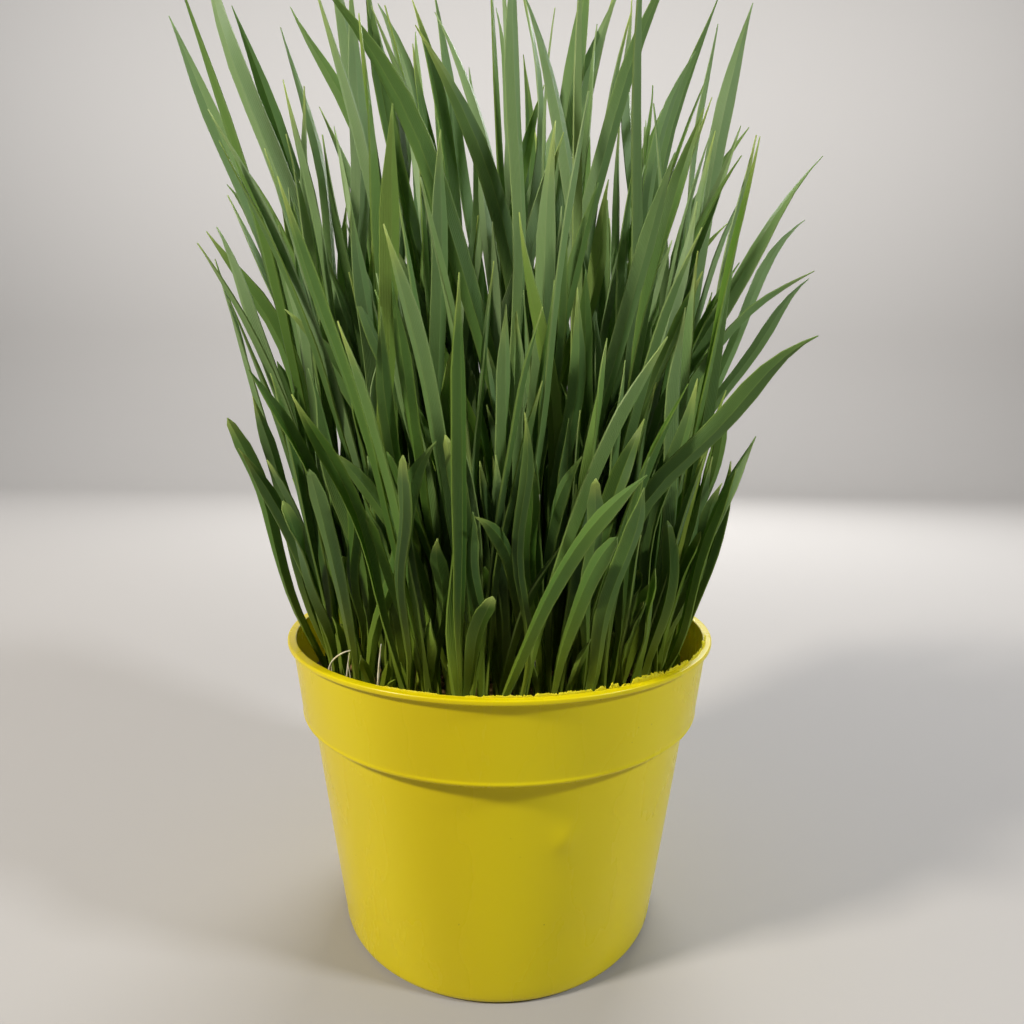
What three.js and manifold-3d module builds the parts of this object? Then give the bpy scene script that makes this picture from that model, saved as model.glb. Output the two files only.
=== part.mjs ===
// Wheatgrass growing in a round plastic pot.
// Millimetres, +Z up. The origin is the centre of the pot's foot, on the surface that it stands on,
// and -Y is the front.
//
// The pot is one moulded piece, and soil fills it to below the rim. The grass stands in the soil as
// tufts. Each tuft is a knot of sprouted grain in its own plain hole, with the shoots that grow from
// it. A shoot is a sheath that goes on as one tall leaf, with side leaves that part from the sheath.
import * as THREE from "three";
import { mergeVertices } from "three/addons/utils/BufferGeometryUtils.js";
import Module from "manifold-3d";

const wasm = await Module();
wasm.setup();

const DEG = Math.PI / 180;
const GAP = 0.3; // between pieces that touch on the real thing

// ---------------------------------------------------------------- driving dimensions
const POT = {
  height: 97,
  lipRadius: 70,
  lipHeight: 1.5,
  collarTopRadius: 68.5,
  collarFootRadius: 65.6,
  collarFoot: 72.2, // height of the collar's lower edge
  bodyTopRadius: 62.7,
  footRadius: 53,
  wall: 1.2,
  floor: 1.7,
  segments: 48,
};
// How far from a corner its rounding starts.
const ROUND = { foot: 2.4, step: 0.6, collarFoot: 1.2, lip: 0.5, lipInside: 0.4, floor: 2 };
const DRAIN = { count: 4, radius: 4.5, ringRadius: 30, sides: 12 };
const SOIL_TOP = 80;
const TUFT = {
  rings: [1, 6, 12, 18], // tufts in each ring, from the middle out
  ringStep: 17.3,
  radius: 8,
  sides: 8,
  depth: 12,
  shoulder: 0.4, // the knot's edge stands this far above the soil
  crown: 2.2, // and its middle this far
  shoots: 4,
  shootRing: 4.3,
  shootTurn: 2.4, // radians that the shoots of one knot are turned from those of the one before
  rootReach: 5, // no root is further than this from the middle of its knot
  rootDepth: 4, // every shoot starts this far below the soil's top
};
const SHEATH = { width: 2.5, depth: 2.1 };
const PARTING = { width: 0.8, depth: 0.7 }; // of a side leaf where it is still inside the sheath

// The sections of each kind of leaf above its foot, as [share of its length, how far its width has
// gone from the sheath's to its full one, depth of its fold]. It ends in a point.
const OUTLINE = {
  tall: [[0.17, 0, 2.1], [0.36, 0.86, 0.9], [0.6, 1, 0.8], [0.84, 0.66, 0.8]],
  side: [[0.24, 0.84, 1.1], [0.55, 1, 0.9], [0.84, 0.7, 0.8]],
  blunt: [[0.25, 0.86, 1.1], [0.62, 1, 0.9], [0.93, 0.76, 0.8]],
};
const KEEL_SHARE = 2 / 3; // of a fold's depth that is on the outer side of the leaf's middle line

// A leaf of each kind: length, how many degrees its end leans, width, and how far up the sheath it
// parts from the shoot. The end of a tall leaf leans that much more than its whole does.
const TALL = { length: [150, 240], lean: [-3, 9], width: [4.2, 6.4], tries: 40 };
const SECOND = { length: [80, 150], lean: [3, 17], width: [3.8, 5.8], parts: [0.12, 0.24], tries: 30 };
const FIRST = { length: [45, 100], lean: [6, 26], width: [3.2, 4.8], parts: [0.07, 0.15], tries: 30 };

// How a leaf bends: the shares of a tall one's lean that its foot and its end have, how far a side
// leaf's foot has turned from its shoot's way to its own end's, and where along it its bend is.
const BEND = { footLean: 0.55, endLean: 1.25, tallAt: 0.5, sideTurned: 0.6, sideAt: 0.45 };

// Where each kind of random draw starts.
const SEED = { tall: 6011, side: 467, marked: 900 };

// The shape of the stand as a whole. It opens outward and leans a little to the left. Towards the
// front its shoots are shorter and lean less.
const STAND = {
  open: 8, // degrees that a shoot at the edge leans outward
  aside: 2.5, // degrees that every shoot leans to the left
  spread: [6.5, 0.6], // degrees either way, and how much is added with each try
  frontFrom: -12,
  frontTo: -40,
  frontLength: 0.5,
  frontLean: 0.5,
  mouthReach: 64.8, // leaves pass up through the pot's mouth inside this
  rimReach: 63, // of the stand just above the rim
  flare: 0.2, // how fast it widens with height
  drift: 0.07, // how fast its middle moves to the left
};

// Leaves are kept apart by comparing their sections at levels above the soil. Those of one knot may
// meet low down, and those of one shoot a little above the place where they part.
const CLEAR = {
  step: 2, // from one level to the next
  levels: 130,
  thickness: 1.2,
  partingHeight: 22,
  knotHeight: 8,
  overRim: 2,
  near: 13, // leaves further apart than this are not compared
};

// Leaves that give this pot its outline, each with its root, its tip, its bow (how far its middle
// stands out from the straight line, as a share of its length), its width and the way it faces.
// [root x, root y, tip x, tip y, tip z, bow, width, face, outline]
const MARKED = [
  [-34, 8, -101, 25, 316, -0.01, 7.2, 0, "tall"],
  [-30, 14, -93, 30, 299, 0.05, 5.9, 0, "tall"],
  [-26, 20, -80, 40, 293, 0.01, 4.2, 40, "tall"],
  [-27, -7, -59, -10, 270, -0.07, 4.2, -45, "tall"],
  [-24, 24, -73, 30, 313, 0.07, 5.3, 0, "tall"],
  [-20, 4, -55, 8, 300, 0.02, 7.6, 0, "tall"],
  [-4, -14, -48, -30, 279, 0.23, 6.7, 0, "tall"],
  [4, -4, -24, -16, 276, 0.21, 6.4, 0, "tall"],
  [-6, 21, -24, 30, 308, 0.15, 4.2, 25, "tall"],
  [2, 17, -3, 22, 294, 0.11, 4.2, -25, "tall"],
  [-12, 34, -46, 45, 322, 0.11, 7.6, 0, "tall"],
  [-44, 24, -102, 34, 261, 0.14, 5.1, 0, "tall"],
  [-50, -4, -94, -5, 232, 0.14, 6.6, 0, "tall"],
  [-54, -8, -91, -6, 214, 0.01, 4.2, -20, "tall"],
  [6, 30, 4, 35, 316, 0.17, 4.6, 0, "tall"],
  [21, -6, 6, -10, 288, 0.16, 4.6, 0, "tall"],
  [18, 22, 30, 34, 316, 0.10, 7.6, 0, "tall"],
  [15, 35, 38, 30, 314, 0.15, 7.6, 0, "tall"],
  [19, 42, 40, 46, 311, 0.09, 4.8, 0, "tall"],
  [34, 36, 45, 40, 320, -0.06, 6.7, 0, "tall"],
  [16, 6, 52, -4, 299, 0.17, 5.4, 0, "tall"],
  [46, 24, 67, 34, 301, 0.12, 4.2, 25, "tall"],
  [40, 30, 75, 40, 319, 0.07, 4.7, 0, "tall"],
  [40, 10, 67, 18, 274, 0.12, 4.2, 40, "tall"],
  [37, -3, 47, 2, 270, -0.11, 4.2, -45, "tall"],
  [48, 4, 77, 6, 300, 0.02, 5.9, 0, "tall"],
  [53, 15, 85, 26, 272, 0.18, 4.2, -35, "tall"],
  [48, -10, 77, -4, 247, 0.09, 4.2, 40, "tall"],
  [50, 10, 77, 14, 244, 0.24, 4.2, -50, "tall"],
  [44, -19, 93, -20, 245, 0.21, 5.5, 0, "tall"],
  [52, 10, 108, 26, 253, 0.14, 4.3, 0, "tall"],
  [46, -26, 95, -14, 222, 0.29, 4.2, 35, "tall"],
  [54, 4, 104, 10, 227, 0.15, 4.2, 0, "tall"],
  [29, -45, 77, -60, 194, 0.22, 6.2, 0, "side"],
  [26, -2, 34, 4, 249, -0.10, 4.2, -35, "tall"],
  [38, -10, 39, -18, 244, 0.20, 4.2, 15, "tall"],
  [35, -15, 57, -20, 240, 0.00, 4.3, 0, "tall"],
  [42, -30, 54, -34, 211, 0.01, 5.8, 0, "tall"],
  [24, -18, 25, -18, 220, -0.04, 5.6, 0, "tall"],
  [-53, -15, -79, -30, 173, -0.04, 4.4, -15, "blunt"],
  [-50, -26, -72, -40, 158, 0.13, 4.2, 45, "side"],
  [-26, -28, -60, -34, 201, 0.23, 6.4, 0, "tall"],
  [-43, -32, -52, -38, 166, 0.10, 4.2, -55, "side"],
  [-15, -43, -45, -50, 164, 0.18, 4.3, 0, "side"],
  [-35, -46, -15, -62, 163, 0.17, 5.1, 0, "side"],
  [-15, -36, -13, -40, 187, 0.37, 4.4, 40, "blunt"],
  [-6, -55, -13, -60, 163, 0.06, 4.4, -25, "blunt"],
  [6, -50, -5, -72, 147, 0.41, 4.2, 30, "side"],
  [-15, -55, -14, -68, 138, 0.41, 4.4, 0, "side"],
  [-39, -42, -49, -52, 158, 0.02, 4.4, -15, "blunt"],
  [14, -46, 20, -66, 160, 0.36, 4.2, -60, "side"],
  [27, -39, 31, -40, 172, 0.12, 4.2, 50, "side"],
  [-4, -57, 32, -84, 158, 0.10, 4.2, -30, "side"],
  [19, -55, 35, -66, 155, -0.04, 5.2, 15, "side"],
  [13, -54, 28, -72, 141, 0.16, 4.4, -50, "blunt"],
  [1, -52, 16, -58, 134, 0.15, 4.2, 70, "side"],
  [19, -21, 17, -20, 183, 0.17, 4.2, -60, "side"],
  [12, -34, 21, -36, 200, -0.03, 5.1, 0, "side"],
  [35, -36, 47, -36, 161, 0.12, 4.2, 60, "side"],
  [47, -32, 74, -30, 161, 0.09, 4.2, -40, "side"],
  [43, -30, 64, -44, 156, -0.04, 4.2, -50, "side"],
  [33, -44, 41, -54, 131, -0.10, 4.2, 60, "side"],
];

// ---------------------------------------------------------------- small tools
function randomFrom(seed) {
  let state = seed;
  const draw = () => {
    state = (state * 48271) % 2147483647;
    return state / 2147483647;
  };
  draw();
  draw();
  return (low, high) => low + (high - low) * draw();
}

function toSolid(geometry) {
  const bare = geometry.clone();
  bare.deleteAttribute("normal");
  bare.deleteAttribute("uv");
  const merged = mergeVertices(bare, 1e-4);
  const mesh = new wasm.Mesh({
    numProp: 3,
    vertProperties: new Float32Array(merged.attributes.position.array),
    triVerts: new Uint32Array(merged.index.array),
  });
  return new wasm.Manifold(mesh);
}

function toGeometry(solid) {
  const mesh = solid.getMesh();
  const geometry = new THREE.BufferGeometry();
  geometry.setAttribute("position", new THREE.BufferAttribute(mesh.vertProperties, 3));
  geometry.setIndex(new THREE.BufferAttribute(mesh.triVerts, 1));
  geometry.computeVertexNormals();
  return geometry;
}

// Corners of an outline, each [radius, height] or [radius, height, where its rounding starts].
function rounded(corners) {
  return corners.flatMap(([radius, height, start], i) => {
    if (!start) return [[radius, height]];
    const corner = new THREE.Vector2(radius, height);
    const towards = ([x, y]) => new THREE.Vector2(x - radius, y - height).setLength(start).add(corner);
    const curve = new THREE.QuadraticBezierCurve(towards(corners[i - 1]), corner, towards(corners[i + 1]));
    return curve.getPoints(2).map((point) => point.toArray());
  });
}

// A profile of [radius, height] points, from the axis at the bottom, round the outside and back to
// the axis, turned about Z.
function turned(profile, segments) {
  const points = profile.map(([radius, height]) => new THREE.Vector2(radius, height));
  const geometry = new THREE.LatheGeometry(points, segments);
  geometry.rotateX(Math.PI / 2);
  return geometry;
}

function mix(a, b, share) {
  return a + (b - a) * share;
}

// ---------------------------------------------------------------- pot and soil
const LIP_FOOT = POT.height - POT.lipHeight;
const BODY_TOP = POT.collarFoot - ROUND.step; // where the body turns out to the collar

const collarInner = (height) => {
  const share = (height - POT.collarFoot) / (LIP_FOOT - POT.collarFoot);
  return mix(POT.collarFootRadius, POT.collarTopRadius, share) - POT.wall;
};

function potSolid() {
  const bodyInner = POT.bodyTopRadius - POT.wall;
  const shelf = POT.collarFoot + POT.wall; // the inner floor of the step under the collar
  const outline = rounded([
    [0, 0],
    [POT.footRadius, 0, ROUND.foot],
    [POT.bodyTopRadius, BODY_TOP],
    [POT.bodyTopRadius, POT.collarFoot],
    [POT.collarFootRadius, POT.collarFoot, ROUND.collarFoot],
    [POT.collarTopRadius, LIP_FOOT],
    [POT.lipRadius, LIP_FOOT, ROUND.lip],
    [POT.lipRadius, POT.height, ROUND.lip],
    [collarInner(LIP_FOOT), POT.height, ROUND.lipInside],
    [collarInner(LIP_FOOT), LIP_FOOT],
    [collarInner(shelf), shelf, ROUND.step],
    [bodyInner, shelf, ROUND.step],
    [bodyInner, BODY_TOP],
    [POT.footRadius - POT.wall, POT.floor, ROUND.floor],
    [0, POT.floor],
  ]);
  let pot = toSolid(turned(outline, POT.segments));
  for (let i = 0; i < DRAIN.count; i += 1) {
    const angle = (i + 0.5) * (360 / DRAIN.count) * DEG;
    const hole = new THREE.CylinderGeometry(DRAIN.radius, DRAIN.radius, 4 * POT.floor, DRAIN.sides);
    hole.rotateX(Math.PI / 2);
    hole.translate(DRAIN.ringRadius * Math.cos(angle), DRAIN.ringRadius * Math.sin(angle), 0);
    pot = pot.subtract(toSolid(hole));
  }
  return pot;
}

// The soil fills the pot from its floor to below the collar's top.
function soilSolid(tufts) {
  const floor = POT.floor + GAP;
  const shelf = POT.collarFoot + POT.wall + 2 * GAP;
  const bodyRadius = POT.bodyTopRadius - POT.wall - 2 * GAP;
  const profile = rounded([
    [0, floor],
    [POT.footRadius - POT.wall - GAP, floor, ROUND.floor + GAP],
    [bodyRadius, BODY_TOP],
    [bodyRadius, shelf, ROUND.step],
    [collarInner(shelf) - GAP, shelf, ROUND.step],
    [collarInner(SOIL_TOP) - GAP, SOIL_TOP],
    [0, SOIL_TOP],
  ]);
  const holes = tufts.map((tuft) => knotSolid(tuft, GAP));
  return toSolid(turned(profile, POT.segments)).subtract(wasm.Manifold.union(holes));
}

// ---------------------------------------------------------------- tufts
function placeTufts() {
  const tufts = [];
  TUFT.rings.forEach((count, ring) => {
    for (let i = 0; i < count; i += 1) {
      const angle = ((i + 0.5) * 360 * DEG) / count;
      const radius = ring * TUFT.ringStep;
      tufts.push({ x: radius * Math.cos(angle), y: radius * Math.sin(angle) });
    }
  });
  return tufts;
}

// The knot of grain that a tuft grows from, or with a gap, the hole that it sits in.
function knotSolid(tuft, gap) {
  const radius = TUFT.radius + gap;
  const foot = SOIL_TOP - TUFT.depth - gap;
  const profile = [
    [0, foot],
    [radius, foot],
    [radius, SOIL_TOP + TUFT.shoulder + gap],
    [0, SOIL_TOP + TUFT.crown + gap],
  ];
  const geometry = turned(profile, TUFT.sides);
  geometry.translate(tuft.x, tuft.y, 0);
  return toSolid(geometry);
}

// ---------------------------------------------------------------- leaves
// A leaf's middle line is one bend from root to tip, and at each section it is as wide as its kind says.
const pointOn = (leaf, t) => {
  const a = (1 - t) * (1 - t);
  const b = 2 * t * (1 - t);
  const c = t * t;
  return leaf.root.map((value, i) => a * value + b * leaf.bend[i] + c * leaf.tip[i]);
};

const wayAlong = (leaf, t) => {
  const way = leaf.root.map((value, i) => {
    return (1 - t) * (leaf.bend[i] - value) + t * (leaf.tip[i] - leaf.bend[i]);
  });
  return new THREE.Vector3(...way).normalize();
};

function widthAt(leaf, t) {
  const rows = OUTLINE[leaf.outline].map(([share, width]) => [share, mix(SHEATH.width, leaf.width, width)]);
  const widths = [[0, SHEATH.width], ...rows, [1, 0]];
  const next = Math.max(1, widths.findIndex(([share]) => share >= t));
  const [fromShare, fromWidth] = widths[next - 1];
  const [toShare, toWidth] = widths[next];
  return mix(fromWidth, toWidth, (t - fromShare) / (toShare - fromShare));
}

function acrossAt(leaf, t) {
  const turn = (leaf.face + leaf.twist * t) * DEG;
  const across = new THREE.Vector3(Math.cos(turn), Math.sin(turn), 0);
  const way = wayAlong(leaf, t);
  return across.addScaledVector(way, -across.dot(way)).normalize();
}

// The leaf as a closed strip with three sides: flat on its inner face and folded along a keel on the
// outer one.
function leafSolid(leaf) {
  const foot = leaf.parted ? PARTING : SHEATH;
  const above = OUTLINE[leaf.outline].map(([t, , depth]) => ({ t, width: widthAt(leaf, t), depth }));
  const sections = [{ t: 0, width: foot.width, depth: foot.depth }, ...above];
  const corners = [];
  for (const { t, width, depth } of sections) {
    const across = acrossAt(leaf, t);
    const keel = new THREE.Vector3().crossVectors(across, wayAlong(leaf, t));
    const middle = new THREE.Vector3(...pointOn(leaf, t));
    const inner = middle.clone().addScaledVector(keel, (KEEL_SHARE - 1) * depth);
    corners.push(inner.clone().addScaledVector(across, width / 2));
    corners.push(inner.clone().addScaledVector(across, -width / 2));
    corners.push(middle.clone().addScaledVector(keel, KEEL_SHARE * depth));
  }
  corners.push(new THREE.Vector3(...leaf.tip));
  const faces = [0, 2, 1];
  const tip = corners.length - 1;
  const last = sections.length - 1;
  for (let i = 0; i < last; i += 1) {
    const a = 3 * i; // right edge, left edge a + 1, keel a + 2
    faces.push(a, a + 1, a + 4, a, a + 4, a + 3);
    faces.push(a + 1, a + 2, a + 4, a + 2, a + 5, a + 4);
    faces.push(a + 2, a, a + 5, a, a + 3, a + 5);
  }
  const a = 3 * last;
  faces.push(a, a + 1, tip, a + 1, a + 2, tip, a + 2, a, tip);
  const geometry = new THREE.BufferGeometry().setFromPoints(corners);
  geometry.setIndex(faces);
  return toSolid(geometry);
}

// The middle, the reach to each side and the slope of a leaf at each level above the soil.
function sectionsOf(leaf) {
  const sections = new Array(CLEAR.levels).fill(null);
  const steps = 160;
  let before = pointOn(leaf, 0);
  for (let i = 1; i <= steps; i += 1) {
    const here = pointOn(leaf, i / steps);
    const low = Math.ceil((before[2] - SOIL_TOP) / CLEAR.step);
    const high = Math.ceil((here[2] - SOIL_TOP) / CLEAR.step);
    for (let level = Math.max(low, 1); level < high && level < CLEAR.levels; level += 1) {
      const share = (SOIL_TOP + level * CLEAR.step - before[2]) / (here[2] - before[2]);
      const t = (i - 1 + share) / steps;
      const across = acrossAt(leaf, t);
      const way = wayAlong(leaf, t);
      const half = widthAt(leaf, t) / 2;
      sections[level] = {
        x: mix(before[0], here[0], share),
        y: mix(before[1], here[1], share),
        acrossX: (across.x - (across.z * way.x) / way.z) * half,
        acrossY: (across.y - (across.z * way.y) / way.z) * half,
        slopeX: way.x / way.z,
        slopeY: way.y / way.z,
      };
    }
    before = here;
  }
  return sections;
}

function pointToLine(x, y, ax, ay, bx, by) {
  const length = (bx - ax) ** 2 + (by - ay) ** 2;
  const share = Math.min(1, Math.max(0, ((x - ax) * (bx - ax) + (y - ay) * (by - ay)) / length));
  return Math.hypot(x - ax - share * (bx - ax), y - ay - share * (by - ay));
}

function touches(a, b) {
  const dx = b.x - a.x;
  const dy = b.y - a.y;
  if (dx * dx + dy * dy > CLEAR.near ** 2) return false;
  const ends = (s) => [s.x - s.acrossX, s.y - s.acrossY, s.x + s.acrossX, s.y + s.acrossY];
  const [ax, ay, bx, by] = ends(a);
  const [cx, cy, ex, ey] = ends(b);
  const side = (px, py, qx, qy, rx, ry) => (qx - px) * (ry - py) - (qy - py) * (rx - px);
  const splitA = side(ax, ay, bx, by, cx, cy) * side(ax, ay, bx, by, ex, ey) < 0;
  const splitB = side(cx, cy, ex, ey, ax, ay) * side(cx, cy, ex, ey, bx, by) < 0;
  if (splitA && splitB) return true;
  const room = Math.min(
    pointToLine(ax, ay, cx, cy, ex, ey),
    pointToLine(bx, by, cx, cy, ex, ey),
    pointToLine(cx, cy, ax, ay, bx, by),
    pointToLine(ex, ey, ax, ay, bx, by),
  );
  const drift = Math.hypot(a.slopeX - b.slopeX, a.slopeY - b.slopeY) * CLEAR.step;
  const tilt = 1 + (Math.hypot(a.slopeX, a.slopeY) + Math.hypot(b.slopeX, b.slopeY)) / 2;
  return room < CLEAR.thickness * tilt + drift / 2;
}

// Below the rim every leaf is inside the pot's mouth, and above it the unmarked ones are inside an
// outline that widens and drifts with height.
function insideStand(section, level, isMarked) {
  const height = SOIL_TOP + level * CLEAR.step;
  const inMouth = height < POT.height + CLEAR.overRim;
  if (isMarked && !inMouth) return true;
  const above = height - POT.height;
  const middle = -STAND.drift * Math.max(0, above);
  const reach = (side) => {
    return Math.hypot(section.x - middle + side * section.acrossX, section.y + side * section.acrossY);
  };
  const limit = inMouth ? STAND.mouthReach : STAND.rimReach + STAND.flare * above;
  return Math.max(reach(1), reach(-1)) < limit;
}

function isClear(leaf, grown) {
  const outside = (section, level) => section && !insideStand(section, level, leaf.isMarked);
  if (leaf.sections.some(outside)) return false;
  for (const other of grown) {
    let freeFrom = SOIL_TOP;
    if (other.tuft === leaf.tuft) freeFrom += CLEAR.knotHeight;
    if (other.shoot === leaf.shoot) freeFrom = leaf.root[2] + CLEAR.partingHeight;
    const from = Math.max(1, Math.ceil((freeFrom - SOIL_TOP) / CLEAR.step));
    for (let level = from; level < CLEAR.levels; level += 1) {
      const a = leaf.sections[level];
      const b = other.sections[level];
      if (a && b && touches(a, b)) return false;
    }
  }
  return true;
}

const unit = (lean, azimuth) => [
  Math.sin(lean * DEG) * Math.cos(azimuth),
  Math.sin(lean * DEG) * Math.sin(azimuth),
  Math.cos(lean * DEG),
];

function markedLeaf(row, number, tufts) {
  const [rootX, rootY, tipX, tipY, tipZ, bow, width, face, outline] = row;
  const away = tufts.map((tuft) => Math.hypot(tuft.x - rootX, tuft.y - rootY));
  const index = away.indexOf(Math.min(...away));
  const pull = Math.min(1, TUFT.rootReach / away[index]);
  const rootAt = (middle, value) => middle + pull * (value - middle);
  const footAt = SOIL_TOP - TUFT.rootDepth;
  const root = new THREE.Vector3(rootAt(tufts[index].x, rootX), rootAt(tufts[index].y, rootY), footAt);
  const tip = new THREE.Vector3(tipX, tipY, tipZ);
  const reach = tip.clone().sub(root);
  const flat = new THREE.Vector3(reach.x, reach.y, 0);
  const above = new THREE.Vector3(-reach.x * reach.z, -reach.y * reach.z, flat.lengthSq());
  above.setLength(bow * reach.length());
  const bend = root.clone().add(tip).multiplyScalar(0.5).add(above);
  const draw = randomFrom(SEED.marked + 37 * number);
  return {
    tuft: index,
    shoot: `marked ${number}`,
    isMarked: true,
    parted: false,
    root: root.toArray(),
    bend: bend.toArray(),
    tip: tip.toArray(),
    outline,
    width,
    face,
    twist: draw(-25, 25),
  };
}

// One at the back and in the middle of the stand, and down to the given share at its front.
function frontShare(y, atFront) {
  const toFront = (y - STAND.frontFrom) / (STAND.frontTo - STAND.frontFrom);
  return 1 + (atFront - 1) * Math.min(1, Math.max(0, toFront));
}

function tallLeaf(tuft, index, shoot, attempt) {
  const draw = randomFrom(SEED.tall + 7919 * index + 617 * shoot + 31 * attempt);
  const turn = (shoot / TUFT.shoots) * 2 * Math.PI + index * TUFT.shootTurn + draw(-0.5, 0.5);
  const ring = Math.min(TUFT.rootReach, TUFT.shootRing * draw(0.75, 1.2));
  const x = tuft.x + ring * Math.cos(turn);
  const y = tuft.y + ring * Math.sin(turn);
  const outward = Math.atan2(y, x);
  const radius = Math.hypot(x, y) / (TUFT.ringStep * 3);
  const length = draw(...TALL.length) * frontShare(y, STAND.frontLength);
  const spread = STAND.spread[0] + attempt * STAND.spread[1];
  const opening = STAND.open * radius ** 1.3 + draw(-3, 3);
  const leanX = opening * Math.cos(outward) - STAND.aside + draw(-spread, spread);
  const leanY = (opening * Math.sin(outward) + draw(-spread, spread)) * frontShare(y, STAND.frontLean);
  const azimuth = Math.atan2(leanY, leanX);
  const tilt = Math.hypot(leanX, leanY);
  const start = unit(tilt * BEND.footLean, azimuth);
  const end = unit(tilt * BEND.endLean + draw(...TALL.lean), azimuth + draw(-0.5, 0.5));
  const root = [x, y, SOIL_TOP - TUFT.rootDepth];
  const bend = root.map((value, i) => value + BEND.tallAt * length * start[i]);
  return {
    tuft: index,
    shoot: `${index} ${shoot}`,
    parted: false,
    root,
    bend,
    tip: bend.map((value, i) => value + (1 - BEND.tallAt) * length * end[i]),
    outline: "tall",
    width: draw(...TALL.width),
    face: azimuth / DEG + 90 + draw(-55, 55),
    twist: draw(-50, 50),
  };
}

function sideLeaf(parent, kind, outline, number, attempt) {
  const draw = randomFrom(SEED.side + 523 * number + 41 * attempt + 7919 * parent.tuft);
  const parting = draw(...kind.parts);
  const root = pointOn(parent, parting);
  const outward = Math.atan2(parent.root[1], parent.root[0]);
  const azimuth = outward + draw(-1.5, 1.5) * (1 + attempt / 8);
  const length = draw(...kind.length);
  const end = unit(draw(...kind.lean), azimuth);
  const ownWay = new THREE.Vector3(...end);
  const start = wayAlong(parent, parting).lerp(ownWay, BEND.sideTurned).normalize().toArray();
  const bend = root.map((value, i) => value + BEND.sideAt * length * start[i]);
  return {
    tuft: parent.tuft,
    shoot: parent.shoot,
    parted: true,
    root,
    bend,
    tip: bend.map((value, i) => value + (1 - BEND.sideAt) * length * end[i]),
    outline,
    width: draw(...kind.width),
    face: azimuth / DEG + 90 + draw(-50, 50),
    twist: draw(-40, 40),
  };
}

function growFirstClear(candidate, tries, grown) {
  for (let attempt = 0; attempt < tries; attempt += 1) {
    const leaf = candidate(attempt);
    leaf.sections = sectionsOf(leaf);
    if (isClear(leaf, grown)) {
      grown.push(leaf);
      return leaf;
    }
  }
  return null;
}

function growGrass(tufts) {
  const grown = [];
  MARKED.forEach((row, number) => {
    growFirstClear(() => markedLeaf(row, number, tufts), 1, grown);
  });
  const shoots = [];
  for (let shoot = 0; shoot < TUFT.shoots; shoot += 1) {
    tufts.forEach((tuft, index) => {
      const leaf = growFirstClear((attempt) => tallLeaf(tuft, index, shoot, attempt), TALL.tries, grown);
      if (leaf) shoots.push(leaf);
    });
  }
  shoots.forEach((parent, number) => {
    growFirstClear((attempt) => sideLeaf(parent, SECOND, "side", number, attempt), SECOND.tries, grown);
  });
  shoots.forEach((parent, number) => {
    const candidate = (attempt) => sideLeaf(parent, FIRST, "blunt", number + 200, attempt);
    growFirstClear(candidate, FIRST.tries, grown);
  });
  return grown;
}

// ---------------------------------------------------------------- the object
function finish(colour, roughness) {
  return new THREE.MeshStandardMaterial({ color: colour, roughness, metalness: 0 });
}

function named(name, solid, material) {
  const mesh = new THREE.Mesh(toGeometry(solid), material);
  mesh.name = name;
  return mesh;
}

const tufts = placeTufts();
const grass = growGrass(tufts);
const wheatgrassPot = new THREE.Group();
wheatgrassPot.add(named("pot", potSolid(), finish(0xd8c81c, 0.35)));
wheatgrassPot.add(named("soil", soilSolid(tufts), finish(0x2b2018, 0.95)));
tufts.forEach((tuft, index) => {
  const leaves = grass.filter((leaf) => leaf.tuft === index).map(leafSolid);
  const solid = wasm.Manifold.union([knotSolid(tuft, 0), ...leaves]);
  const name = `grass_tuft_${String(index + 1).padStart(2, "0")}`;
  wheatgrassPot.add(named(name, solid, finish(0x4f7a35, 0.5)));
});

export default wheatgrassPot;
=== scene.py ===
from math import atan2, cos, degrees, exp, hypot, pi, radians, sin, sqrt
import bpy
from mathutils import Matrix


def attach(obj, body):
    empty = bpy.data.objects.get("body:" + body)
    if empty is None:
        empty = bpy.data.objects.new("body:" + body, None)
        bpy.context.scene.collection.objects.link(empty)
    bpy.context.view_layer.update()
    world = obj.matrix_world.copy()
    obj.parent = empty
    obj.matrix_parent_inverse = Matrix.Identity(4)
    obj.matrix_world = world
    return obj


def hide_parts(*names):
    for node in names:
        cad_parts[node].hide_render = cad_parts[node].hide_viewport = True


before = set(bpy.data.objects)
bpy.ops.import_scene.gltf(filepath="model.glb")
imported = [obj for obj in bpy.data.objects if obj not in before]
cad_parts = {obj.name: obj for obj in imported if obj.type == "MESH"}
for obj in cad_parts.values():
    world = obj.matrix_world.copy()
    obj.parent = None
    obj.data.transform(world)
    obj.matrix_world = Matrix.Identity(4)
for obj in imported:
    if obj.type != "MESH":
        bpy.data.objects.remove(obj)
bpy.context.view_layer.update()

from types import SimpleNamespace

import bmesh
import bpy
import numpy as np
from mathutils import Matrix, Vector, noise
from numpy.linalg import norm

mm = 0.001

# all sizes below are in millimetres, and angles in degrees
pot = {
    "height": 97.0, "lipRadius": 70.0, "lipHeight": 1.5, "collarTopRadius": 68.5,
    "collarFootRadius": 65.6, "collarFoot": 72.2,
    "ridge": 0.36,  # how far the collar's lower edge stands out
    "bodyTopRadius": 62.7, "footRadius": 53.0, "wall": 1.2, "floor": 1.7, "segments": 192,
    "drainCount": 4, "drainRadius": 4.5, "drainRing": 30.0,
}

soilTop = 80.0

tuft = {
    "rings": [1, 6, 12, 18], "ringStep": 17.3, "radius": 8.0, "shoots": 4, "shootRing": 4.3,
    "shootTurn": 2.4, "rootReach": 5.0, "rootDepth": 4.0,
    "aroundDraw": 0.5,  # radians
    "ringDraw": (0.75, 1.2),
}

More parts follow.
